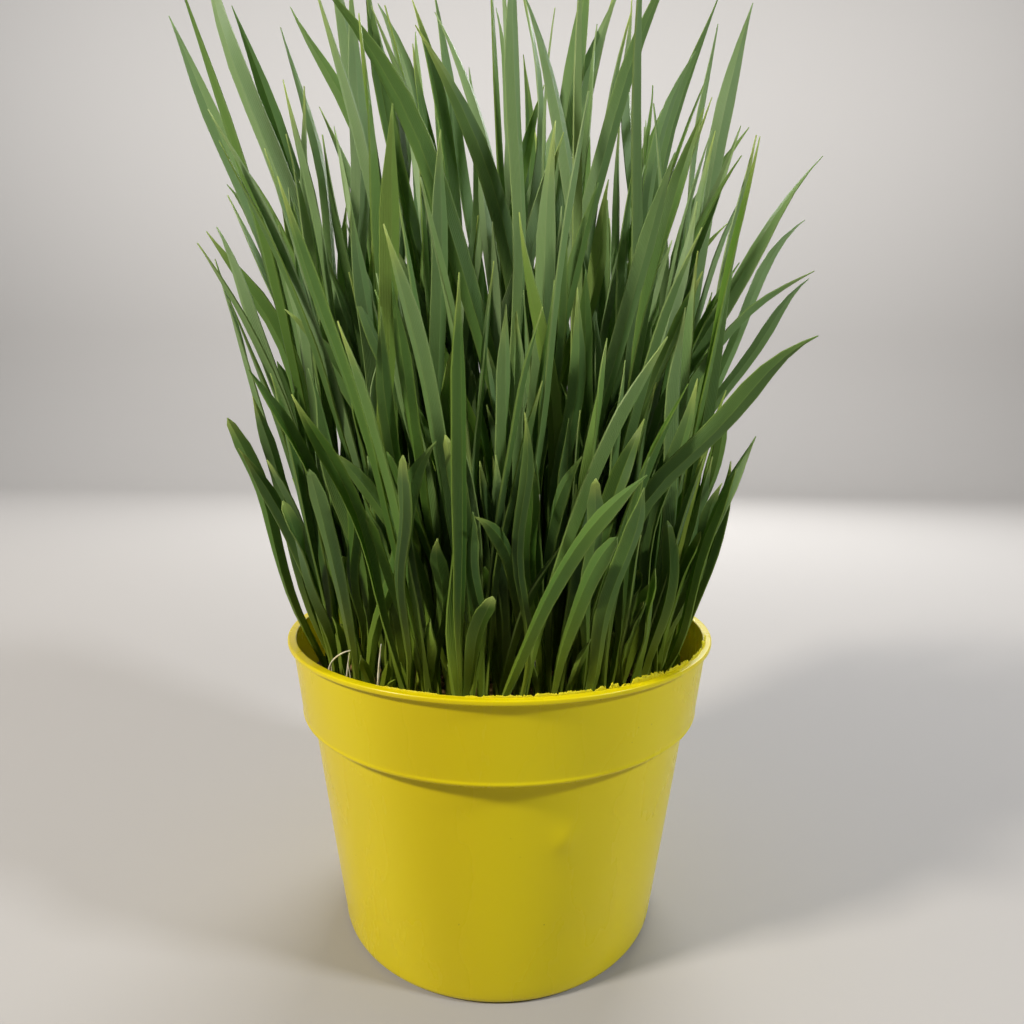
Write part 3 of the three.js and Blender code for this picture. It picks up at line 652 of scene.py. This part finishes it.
# potting mix of peat and fibre: almost black when wet, with brown fibres
pottingMix = plainNatural("pottingMix", "#120C08", "#3A2818", 350, 0.95, 1.0)
# a dead leaf: papery straw
straw = plainNatural("straw", "#E4D8A8", "#FFF8DC", 300, 0.6, 0.1)
print("materials done")


def newObject(name, data):
    made = bpy.data.objects.new(name, data)
    bpy.context.collection.objects.link(made)
    return made


def meshOf(bm, name):
    mesh = bpy.data.meshes.new(name)
    bm.to_mesh(mesh)
    bm.free()
    return mesh


def finishPiece(bm, name, material, smooth=True):
    for face in bm.faces:
        face.smooth = smooth
    mesh = meshOf(bm, name)
    mesh.materials.append(material)
    piece = newObject(name, mesh)
    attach(piece, "root")
    return piece


def faceOutward(bm):
    bmesh.ops.recalc_face_normals(bm, faces=bm.faces[:])


def vertsFrom(bm, first):
    bm.verts.ensure_lookup_table()
    return bm.verts[first:]


def only(kind, geometry):
    return [item for item in geometry if isinstance(item, kind)]


# a vector that points away from the middle, at an angle from the front
def outward(angle):
    return Vector((sin(angle), -cos(angle), 0))


def lineOf(bm, places):
    verts = [bm.verts.new(place) for place in places]
    return verts, [bm.edges.new(pair) for pair in zip(verts[:-1], verts[1:])]


leafTemplate = {
    "sections": 16,
    "closer": 1.25,  # how much closer together its sections stand towards the tip
    "thickness": 0.42, "sheathThickness": 1.9,
}


def makeLeafTemplate():
    # a strip from -1 to 1 across and 0 to 1 along, with the height 0 below and 1 above
    bm = bmesh.new()
    bmesh.ops.create_grid(bm, x_segments=2, y_segments=leafTemplate["sections"], size=1)
    bmesh.ops.solidify(bm, geom=bm.faces[:], thickness=1)
    heights = [vert.co.z for vert in bm.verts]
    low = min(heights)
    high = max(heights)
    for vert in bm.verts:
        vert.co.y = 1 - (1 - (vert.co.y + 1) / 2) ** leafTemplate["closer"]
        vert.co.z = (vert.co.z - low) / (high - low)
    faceOutward(bm)
    # turned over, because a leaf's across, along and keel are left-handed
    bmesh.ops.reverse_faces(bm, faces=bm.faces[:])
    for edge in bm.edges:
        a, b = (abs(vert.co.x) for vert in edge.verts)
        edge.smooth = not (a == b and (a > 0.9 or a < 0.1) and edge.verts[0].co.z == edge.verts[1].co.z)
    return meshOf(bm, "leafTemplate")


# how a leaf departs from its plain strip, each drawn anew for every leaf; lists go from root to tip,
# with the share of the length and the value there
leafForm = {
    "fold": (0.24, 0.6),  # rise of the edges above the rib, as a share of the width
    "foldEnds": (0.22, 0.1), "waves": (1.5, 4.0), "waveHeight": 0.2,
    "sway": 0.03,  # how far the middle line swings to the side, as a share of the length
    "swings": (0.8, 1.7),
    "droop": (-0.01, 0.08),  # how far the end falls, as a share of the length
    "turn": 100.0,  # how far the upper part may turn further
    "turnFrom": 0.35,
    "fuller": [(0, 0.34), (0.16, 0.36), (0.3, 0.66), (0.6, 0.94), (0.85, 1.14), (1, 1.1)],
    "corner": 0.08,  # how far the plain outline's corners are rounded off
    "roundFrom": 0.9, "roundWidth": 0.78, "tipWidth": 0.25, "thinEnd": [(0, 1), (0.9, 1), (1, 0.5)],
    "tallSheath": [(0, 1.0), (0.14, 0.9), (0.3, 0)],
    "sideSheath": [(0, 1.0), (0.1, 0.8), (0.25, 0)], "sideNeck": (0.35, 0.12),
    "drawnOut": 0.075,  # how much further the very tallest leaves reach than their solids
    "drawnFrom": 255, "drawnOver": 25,
}

# how a leaf's colours are drawn: a short young leaf is yellower, and the listed ones aren't ripest
leafDraws = {
    "seed": 77, "youngUnder": 60, "youngest": 0.6, "handSet": 0.72, "bloom": 0.96, "bloomPower": 1.3,
}


def profile(t, name):
    return np.interp(t, *zip(*leafForm[name]))


def smoothWidth(leaf, t):
    # the widths of the plain outline with its corners rounded off, and a short leaf's end made round
    steps = np.linspace(-leafForm["corner"], leafForm["corner"], 9)
    width = np.mean([widthAt(leaf, np.clip(t + step * (1 - t), 0, 1)) for step in steps], axis=0)
    width *= profile(t, "fuller")
    if leaf.outline == "blunt":
        end = np.clip((t - leafForm["roundFrom"]) / (1 - leafForm["roundFrom"]), 0, 1)
        width = np.where(end > 0, leaf.width * leafForm["roundWidth"] * np.sqrt(1 - end ** 2), width)
    return np.maximum(width, leafForm["tipWidth"])


def leafPoints(leaf, template):
    u, t, w = template[:, 0], template[:, 1], template[:, 2]
    way = wayAlong(leaf, t)
    across = acrossAt(leaf, t)
    keel = np.cross(way, across)
    start = leafForm["turnFrom"]
    turn = np.radians(leaf.turn) * np.clip((t - start) / (1 - start), 0, 1) ** 1.5
    side = across * np.cos(turn)[:, None] + keel * np.sin(turn)[:, None]
    keel = keel * np.cos(turn)[:, None] - across * np.sin(turn)[:, None]
    width = smoothWidth(leaf, t)
    if leaf.parted:
        neck, neckEnd = leafForm["sideNeck"]
        width *= np.clip(neck + t / neckEnd, 0, 1)
    thin = leafTemplate["thickness"]
    thicker = profile(t, "sideSheath" if leaf.parted else "tallSheath")
    thickness = (thin + (leafTemplate["sheathThickness"] - thin) * thicker) * profile(t, "thinEnd")
    foot, end = leafForm["foldEnds"]
    fold = width * np.interp(t, [0, 0.3, 0.7, 1], [foot, leaf.fold, leaf.fold * 0.7, end])
    wave = np.sin(t * leaf.waves * 2 * pi + leaf.phase) * np.abs(u) * leafForm["waveHeight"]
    rise = fold * (np.abs(u) - 0.5) + (w - 0.5) * thickness + wave * (t > 0.3)
    length = norm(leaf.tip - leaf.root)
    swing = np.sin(t * leaf.swings * 2 * pi) * np.sin(t * pi) * leaf.sway * length
    place = pointsOn(leaf, t) + side * (u * width / 2)[:, None] + keel * rise[:, None]
    place += across * swing[:, None]
    place[:, 2] -= leaf.droop * length * np.clip((t - 0.5) / 0.5, 0, 1) ** 2.5
    tallest = np.clip((leaf.tip[2] - leafForm["drawnFrom"]) / leafForm["drawnOver"], 0, 1)
    return leaf.root + (place - leaf.root) * (1 + leafForm["drawnOut"] * tallest)


def addLeaf(bm, leaf, templateMesh, template, layers, draw):
    leaf.fold = draw(*leafForm["fold"])
    leaf.waves = draw(*leafForm["waves"])
    leaf.phase = draw(0, 6.28)
    leaf.sway = draw(-1, 1) * leafForm["sway"]
    leaf.swings = draw(*leafForm["swings"])
    leaf.droop = draw(*leafForm["droop"])
    leaf.turn = draw(-1, 1) ** 3 * leafForm["turn"]
    length = norm(leaf.tip - leaf.root)
    young = np.clip(1 - length / leafDraws["youngUnder"], 0, leafDraws["youngest"])
    ripest = leafDraws["handSet"] if leaf.marked and length > leafDraws["youngUnder"] else 1
    looks = {
        "tint": (young + draw(0, 1 - young)) * ripest,
        "pale": draw(0, 1) ** 2,
        "bloom": draw(0, leafDraws["bloom"]) ** leafDraws["bloomPower"],
    }
    first = len(bm.verts)
    bm.from_mesh(templateMesh)
    points = leafPoints(leaf, template) * mm
    for vert, point, (u, t, w) in zip(vertsFrom(bm, first), points.tolist(), template.tolist()):
        vert.co = point
        for name, value in {"across": u, "along": t, "under": 1 - w, **looks}.items():
            vert[layers[name]] = value


def makeLeaves():
    templateMesh = makeLeafTemplate()
    template = np.array([tuple(vert.co) for vert in templateMesh.vertices])
    draw = drawFrom(leafDraws["seed"])
    for index in range(len(tufts)):
        bm = bmesh.new()
        names = ("across", "along", "under", "tint", "pale", "bloom")
        layers = {name: bm.verts.layers.float.new(name) for name in names}
        for leaf in grown:
            if leaf.tuft == index:
                addLeaf(bm, leaf, templateMesh, template, layers, draw)
        number = f"{index + 1:02d}"
        piece = finishPiece(bm, f"wheat_leaves_{number}", leafGreen)
        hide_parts(f"grass_tuft_{number}")
    bpy.data.meshes.remove(templateMesh)


makeLeaves()
print("leaves done")


grain = {
    "perKnot": 15, "size": (6.2, 3.1, 2.7), "sizeDraw": (0.85, 1.1), "reach": 0.95,
    "above": (0.6, 2.6), "tilt": 0.6, "seed": 5,
}


def makeGrain():
    draw = drawFrom(grain["seed"])
    bm = bmesh.new()
    for x, y in tufts:
        for _ in range(grain["perKnot"]):
            radius = tuft["radius"] * grain["reach"] * sqrt(draw(0, 1))
            around = draw(0, 6.28)
            place = Vector((x, y, soilTop + draw(*grain["above"])))
            place.xy += Vector(onRing(radius, around))
            turn = Matrix.Rotation(draw(0, 6.28), 4, "Z")
            turn = turn @ Matrix.Rotation(either(draw, grain["tilt"]), 4, "Y")
            size = draw(*grain["sizeDraw"]) * mm / 2
            matrix = Matrix.Translation(place * mm) @ turn
            matrix = matrix @ Matrix.Diagonal([side * size for side in grain["size"]] + [1])
            bmesh.ops.create_icosphere(bm, subdivisions=2, radius=1, matrix=matrix)
    finishPiece(bm, "sprouted_grain", grainHusk)


felt = {"radius": 8.6, "flat": 0.22, "lumps": 0.7, "lumpsPerMetre": 400}


def makeRootFelt():
    bm = bmesh.new()
    flat = Matrix.Diagonal((1, 1, felt["flat"], 1))
    for x, y in tufts:
        first = len(bm.verts)
        bmesh.ops.create_uvsphere(
            bm, u_segments=20, v_segments=10, radius=felt["radius"] * mm,
            matrix=Matrix.Translation(Vector((x, y, soilTop)) * mm) @ flat)
        for vert in vertsFrom(bm, first):
            vert.co.z += noise.noise(vert.co * felt["lumpsPerMetre"]) * felt["lumps"] * mm
    finishPiece(bm, "root_felt", rootFelt)


makeGrain()
makeRootFelt()
print("grain and roots done")


crumbs = {
    "count": 420, "reach": 64.0, "small": 0.7, "large": 2.4, "long": (0.8, 1.5), "flat": (0.5, 0.9),
    "lumps": 0.5, "lumpsPerMetre": 900, "seed": 9,
}


def makeCrumbs():
    noise.seed_set(crumbs["seed"])  # without it, noise_vector differs from run to run
    draw = drawFrom(crumbs["seed"])
    bm = bmesh.new()
    for _ in range(crumbs["count"]):
        radius = crumbs["reach"] * sqrt(draw(0.02, 1))
        around = draw(0, 6.28)
        size = draw(crumbs["small"], crumbs["large"]) * draw(0.5, 1) * mm
        place = Vector((*onRing(radius, around), soilTop + 0.2)) * mm
        first = len(bm.verts)
        matrix = Matrix.Translation(place) @ Matrix.Rotation(draw(0, 6.28), 4, "Z")
        matrix = matrix @ Matrix.Diagonal((draw(*crumbs["long"]), 1, draw(*crumbs["flat"]), 1))
        bmesh.ops.create_icosphere(bm, subdivisions=1, radius=size, matrix=matrix)
        for vert in vertsFrom(bm, first):
            vert.co += noise.noise_vector(vert.co * crumbs["lumpsPerMetre"]) * size * crumbs["lumps"]
    finishPiece(bm, "soil_crumbs", pottingMix, smooth=False)


makeCrumbs()
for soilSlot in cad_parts["soil"].material_slots:
    soilSlot.material = pottingMix
print("soil done")


# bumps and dents: angle from the front, height, half width and half height, how deep
dents = [
    (19.0, 54.5, 7.0, 11.0, -0.35),
    (17.5, 53.5, 3.0, 4.0, -0.55),
    (15.9, 51.2, 1.0, 1.0, -0.3),
    (27.0, 20.0, 12.0, 9.0, 0.3),
    (-38.0, 45.0, 14.0, 22.0, 0.35),
    (140.0, 40.0, 12.0, 18.0, 0.4),
    (-120.0, 55.0, 16.0, 12.0, 0.35),
]

dentRadius = 58  # the wall's radius, where their half widths are measured

# how far from a corner its rounding starts
rounding = {
    "foot": 2.4, "step": 0.6, "collarFoot": 0.6, "lip": 0.55, "lipInside": 0.5, "floor": 2.0, "slight": 0.3,
}

# how far the wall is out of round: lobes, where they start, height's part in that, and how far
outOfRound = [(2, 0.6, 0, 0.12), (5, 0, 0.05, 0.05)]


def collarInner(height):
    collar = pot["height"] - pot["lipHeight"] - pot["collarFoot"]
    share = (height - pot["collarFoot"]) / collar
    foot = pot["collarFootRadius"]
    return foot + (pot["collarTopRadius"] - foot) * share - pot["wall"]


def potCorners():
    # each corner's radius and height, where its rounding starts, and the steps to the next one
    lipFoot = pot["height"] - pot["lipHeight"]
    step = pot["collarFoot"]
    bodyTop = step - rounding["step"]
    body = pot["bodyTopRadius"]
    collar = pot["collarFootRadius"]
    shelf = step + pot["wall"]
    slight = rounding["slight"]
    return [
        (0, 0, 0, 6),
        (pot["footRadius"], 0, rounding["foot"], 46),
        (body, bodyTop - slight, slight, 1),
        (body + 0.1, step, slight, 1),
        (collar, step, rounding["collarFoot"], 1),
        (collar + pot["ridge"], step + 0.9, slight, 1),
        (collar + 0.2, step + 1.6, slight, 14),
        (pot["collarTopRadius"], lipFoot, slight, 1),
        (pot["lipRadius"], lipFoot, rounding["lip"], 1),
        (pot["lipRadius"], pot["height"], rounding["lip"], 1),
        (collarInner(lipFoot), pot["height"], rounding["lipInside"], 1),
        (collarInner(lipFoot), lipFoot, 0, 10),
        (collarInner(shelf), shelf, rounding["step"], 1),
        (body - pot["wall"], shelf, rounding["step"], 1),
        (body - pot["wall"], bodyTop, 0, 46),
        (pot["footRadius"] - pot["wall"], pot["floor"], rounding["floor"], 6),
        (0, pot["floor"], 0, 0),
    ]


def potProfile():
    corners = potCorners()
    places = [Vector(corner[:2]) for corner in corners]
    points = []
    stretches = [0]
    for i, (place, (_, _, start, steps)) in enumerate(zip(places, corners)):
        if start:
            before = place + (places[i - 1] - place).normalized() * start
            after = place + (places[i + 1] - place).normalized() * start
            turns = [t / 6 for t in range(7)]
            curve = [before * (1 - t) ** 2 + place * 2 * t * (1 - t) + after * t ** 2 for t in turns]
        else:
            curve = [place]
        if points:
            last = points[-1]
            gaps = stretches[-1]
            points += [last.lerp(curve[0], step / gaps) for step in range(1, gaps)]
        points += curve
        stretches.append(steps)
    return points


def dented(co):
    angle = atan2(co.x, -co.y)
    height = co.z / mm
    radius = hypot(co.x, co.y)
    change = sum(far * sin(lobes * angle + start + height * rise) for lobes, start, rise, far in outOfRound)
    for turn, middle, halfWidth, halfHeight, depth in dents:
        away = (angle - radians(turn) + pi) % (2 * pi) - pi
        far = (away * dentRadius / halfWidth) ** 2 + ((height - middle) / halfHeight) ** 2
        change -= depth * exp(-far * 1.6)
    if height < 3 or radius < 20 * mm:  # the foot and the floor are nearly true
        change *= 0.2
    if radius > 1e-6:
        co.xy *= 1 + change * mm / radius


def makePot():
    bm = bmesh.new()
    verts, edges = lineOf(bm, [(point.x * mm, 0, point.y * mm) for point in potProfile()])
    bmesh.ops.spin(
        bm, geom=verts + edges, cent=(0, 0, 0), axis=(0, 0, 1), angle=2 * pi, steps=pot["segments"],
        use_merge=True)
    bmesh.ops.remove_doubles(bm, verts=bm.verts[:], dist=1e-6)
    faceOutward(bm)
    for vert in bm.verts:
        dented(vert.co)
    piece = finishPiece(bm, "moulded_pot", plastic)
    cutDrains(piece)
    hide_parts("pot")


def cutDrains(piece):
    bm = bmesh.new()
    radius = pot["drainRadius"] * mm
    for i in range(pot["drainCount"]):
        place = Vector((*onRing(pot["drainRing"], (i + 0.5) * 2 * pi / pot["drainCount"]), 0))
        bmesh.ops.create_cone(
            bm, cap_ends=True, segments=32, radius1=radius, radius2=radius, depth=8 * mm,
            matrix=Matrix.Translation(place * mm))
    cutter = newObject("drainCutter", meshOf(bm, "drainCutter"))
    modifier = piece.modifiers.new("drains", "BOOLEAN")
    modifier.object = cutter
    modifier.operation = "DIFFERENCE"
    modifier.solver = "EXACT"
    whole = piece.data
    evaluated = piece.evaluated_get(bpy.context.evaluated_depsgraph_get())
    piece.data = bpy.data.meshes.new_from_object(evaluated)
    piece.modifiers.clear()
    piece.data.name = whole.name
    for mesh in (whole, cutter.data):
        bpy.data.meshes.remove(mesh)  # and with the cutter's mesh its object


makePot()
print("pot done")


# the ragged plastic that is left along the lip's inner edge, where the mould's halves met badly
flash = {
    "from": -27.0, "to": 78.0, "segments": 900, "radius": 67.75, "thickness": 0.3, "root": 0.4,
    "lean": 0.45, "wander": 0.12,
    # stretches of it: from and to angle, and how high they stand
    "stretches": [
        (-25, -12, 0.38), (-6.5, -3.5, 0.45), (-3, 8, 0.6), (8, 13, 1.0), (13, 21, 0.85), (21.5, 24.5, 1.0),
        (25, 27.6, 1.4), (31, 41.5, 1.6), (42, 53, 1.1), (55, 64, 0.8), (65, 74, 1.4),
    ],
    "middle": 0.75,
    # lumps and teeth on it: how close together, the noise's row, and how high
    "lumps": [(0.8, 1.0, 0.55), (3.1, 5.0, 0.5), (9, 9.0, 0.3)],
    # thin curls: angle and height
    "curls": [(28.4, 2.1), (29.6, 1.7)], "curlRadius": 0.24, "curlBend": 2.2,
}


def flashHeight(angle):
    height = 0.02
    for start, end, rise in flash["stretches"]:
        if start < angle < end:
            inside = min(angle - start, end - angle) / 0.5
            share = flash["middle"]
            for close, row, high in flash["lumps"]:
                share += high * noise.noise(Vector((angle * close, row, 0)))
            height = max(height, rise * min(1, inside) * max(0.1, share))
    return height


def makeFlash():
    bm = bmesh.new()
    bmesh.ops.create_grid(bm, x_segments=flash["segments"], y_segments=3, size=1)
    for vert in bm.verts:
        turn = flash["from"] + (flash["to"] - flash["from"]) * (vert.co.x + 1) / 2
        up = (vert.co.y + 1) / 2
        height = flashHeight(turn)
        radius = flash["radius"] + flash["wander"] * noise.noise(Vector((turn * 0.5, 7.0, 0)))
        radius += noise.noise(Vector((turn * 0.9, up * 1.5, 3.0))) * height * up * flash["lean"]
        vert.co = outward(radians(turn)) * radius * mm
        vert.co.z = (pot["height"] - flash["root"] + up * (height + flash["root"])) * mm
    faceOutward(bm)
    bmesh.ops.solidify(bm, geom=bm.faces[:], thickness=flash["thickness"] * mm)
    faceOutward(bm)
    if bm.calc_volume(signed=True) < 0:
        bmesh.ops.reverse_faces(bm, faces=bm.faces[:])
    strip = set(bm.faces)
    for turn, height in flash["curls"]:
        addCurl(bm, radians(turn), height)
    bmesh.ops.recalc_face_normals(bm, faces=[face for face in bm.faces if face not in strip])
    finishPiece(bm, "lip_flash", thinPlastic)


def addCurl(bm, angle, height):
    # a hook that stands on the lip and bends over to the right
    up = Vector((0, 0, 1))
    foot = outward(angle) * flash["radius"] + up * (pot["height"] - flash["root"])
    radius = flash["curlRadius"] * mm
    ring = bmesh.ops.create_circle(bm, cap_ends=True, segments=8, radius=radius)["verts"]
    bmesh.ops.translate(bm, vec=foot * mm, verts=ring)
    face = ring[0].link_faces[0]
    steps = 7
    for step in range(1, steps + 1):
        extruded = bmesh.ops.extrude_face_region(bm, geom=[face])["geom"]
        if step > 1:
            bmesh.ops.delete(bm, geom=[face], context="FACES_ONLY")
        turn = step / steps * flash["curlBend"]
        move = (outward(angle + pi / 2) * sin(turn) + up * cos(turn)) * height / steps
        bmesh.ops.translate(bm, vec=move * mm, verts=only(bmesh.types.BMVert, extruded))
        face = only(bmesh.types.BMFace, extruded)[0]


makeFlash()
print("flash done")


# withered first leaves, dried to straw: points from the soil up, and how thick each is there
strawRadius = 0.62
straws = [
    # curled over to the right, at the left of the front
    [(-46.5, -40, 79, 0.5), (-48, -43, 88, 0.45), (-47.6, -44, 94.3, 0.42), (-46.8, -44.5, 96.8, 0.4),
     (-45.6, -45, 98.4, 0.42), (-44, -45.5, 99.7, 0.42), (-42.6, -45.5, 100.6, 0.32),
     (-41.3, -45, 100.7, 0.28), (-40, -43.5, 100.8, 0.2)],
    [(-45.5, -40, 79, 0.4), (-46.6, -44.5, 94.2, 0.3), (-46.5, -44.3, 95.5, 0.28),
     (-46.6, -44.4, 96.6, 0.15)],
    # a pair that meet
    [(-41.5, -43, 79, 0.4), (-42.3, -45.5, 91, 0.38), (-41.8, -46, 94.5, 0.32), (-41.4, -46, 98, 0.3),
     (-41.0, -46, 100.5, 0.15)],
    [(-40.2, -43, 79, 0.4), (-40.6, -45.5, 91, 0.35), (-40.9, -46, 94.5, 0.32), (-41.4, -46.2, 97, 0.12)],
    # a thin one in the middle, cut off square
    [(10.5, -41, 79, 0.6), (10.1, -41, 109, 0.5), (10.5, -40, 126, 0.42), (11.1, -40, 144.5, 0.4)],
    # bare ends among the stems
    [(-33.5, -46, 79, 0.7), (-33.2, -47, 92, 0.62), (-32.6, -47, 99, 0.5), (-32.0, -47, 103.5, 0.15)],
    [(31, -42, 79, 0.6), (32.5, -43, 95, 0.5), (33.2, -43, 101, 0.4), (32.8, -43, 104, 0.15)],
]


def makeStraws():
    curve = bpy.data.curves.new("straws", "CURVE")
    curve.dimensions = "3D"
    curve.bevel_depth = mm
    curve.bevel_resolution = 2
    curve.use_fill_caps = True
    for points in straws:
        spline = curve.splines.new("NURBS")
        spline.points.add(len(points) - 1)
        spline.use_endpoint_u = True
        spline.order_u = 4
        spline.resolution_u = 6
        for point, (x, y, z, radius) in zip(spline.points, points):
            point.co = (x * mm, y * mm, z * mm, 1)
            point.radius = radius * strawRadius
    source = bpy.data.objects.new("strawSource", curve)
    mesh = bpy.data.meshes.new_from_object(source)
    bpy.data.objects.remove(source)
    bpy.data.curves.remove(curve)
    bm = bmesh.new()
    bm.from_mesh(mesh)
    bpy.data.meshes.remove(mesh)
    bmesh.ops.remove_doubles(bm, verts=bm.verts[:], dist=1e-6)
    faceOutward(bm)
    finishPiece(bm, "withered_leaves", straw)


makeStraws()
print("withered leaves done")


# the sheet of paper that the pot stands on, bent up behind it, in metres
sweep = {"wide": 9.6, "front": -1.6, "back": 1.6, "round": 0.5, "top": 3.0, "colour": "#9E9B98"}


def makeStage():
    bm = bmesh.new()
    places = [(sweep["front"], 0)]
    for step in range(9):
        angle = step / 8 * pi / 2
        places.append((sweep["back"] + sweep["round"] * sin(angle), sweep["round"] * (1 - cos(angle))))
    places.append((sweep["back"] + sweep["round"], sweep["top"]))
    edges = lineOf(bm, [(-sweep["wide"] / 2, y, z) for y, z in places])[1]
    made = bmesh.ops.extrude_edge_only(bm, edges=edges)["geom"]
    bmesh.ops.translate(bm, vec=(sweep["wide"], 0, 0), verts=only(bmesh.types.BMVert, made))
    for face in bm.faces:
        face.smooth = True
    mesh = meshOf(bm, "studioSweep")
    mesh.materials.append(newMaterial("sweepPaper", {"Base Color": sweep["colour"], "Roughness": 0.85})[0])
    newObject("studioSweep", mesh)


# name, place, target, size, watts and colour
lights = [
    ("leftWindow", (-1.06, -0.6, 1.04), (0, 0, 0.15), (0.18, 0.14), 24.4, "#FFF8EE"),
    ("rightWindow", (1.12, -0.5, 1.04), (0, 0, 0.15), (0.18, 0.14), 14.8, "#F6F9FF"),
    ("topSoft", (-0.05, 0.1, 1.5), (0, 0, 0.1), (0.5, 0.5), 3, "#FFFFFF"),
    ("backWindow", (0.3, 1.1, 1.0), (0, 0, 0.25), (1.0, 0.8), 19, "#FFFFFF"),
    ("sweepWash", (0, 0.6, 1.5), (0, 2.1, 1.1), (4.6, 0.5), 80, "#FFFFFF"),
]


sky = {"colour": "#E9ECF0", "strength": 0.09}


def makeLight():
    world = bpy.data.worlds.new("studio")
    bpy.context.scene.world = world
    world.use_nodes = True
    background = world.node_tree.nodes["Background"]
    background.inputs["Color"].default_value = linear(sky["colour"])
    background.inputs["Strength"].default_value = sky["strength"]
    for name, place, target, size, watts, colour in lights:
        light = bpy.data.lights.new(name, "AREA")
        light.shape = "RECTANGLE"
        light.size, light.size_y = size
        light.energy = watts
        light.color = linear(colour)[:3]
        lamp = newObject(name, light)
        lamp.location = place
        lamp.rotation_euler = (Vector(target) - Vector(place)).to_track_quat("-Z", "Y").to_euler()


view = {"place": (3.6, -223.8, 160.9), "down": 6.65, "roll": 0.54, "lens": 23.34, "sensor": 36.0}


def makeCamera():
    data = bpy.data.cameras.new("camera")
    data.lens = view["lens"]
    data.sensor_width = view["sensor"]
    data.clip_start = 0.01
    camera = newObject("camera", data)
    turn = Matrix.Rotation(radians(90 - view["down"]), 4, "X")
    turn = turn @ Matrix.Rotation(radians(view["roll"]), 4, "Z")
    camera.matrix_world = Matrix.Translation(Vector(view["place"]) * mm) @ turn
    bpy.context.scene.camera = camera


makeStage()
makeLight()
makeCamera()
bpy.context.scene.view_settings.view_transform = "Standard"

print("scene done")
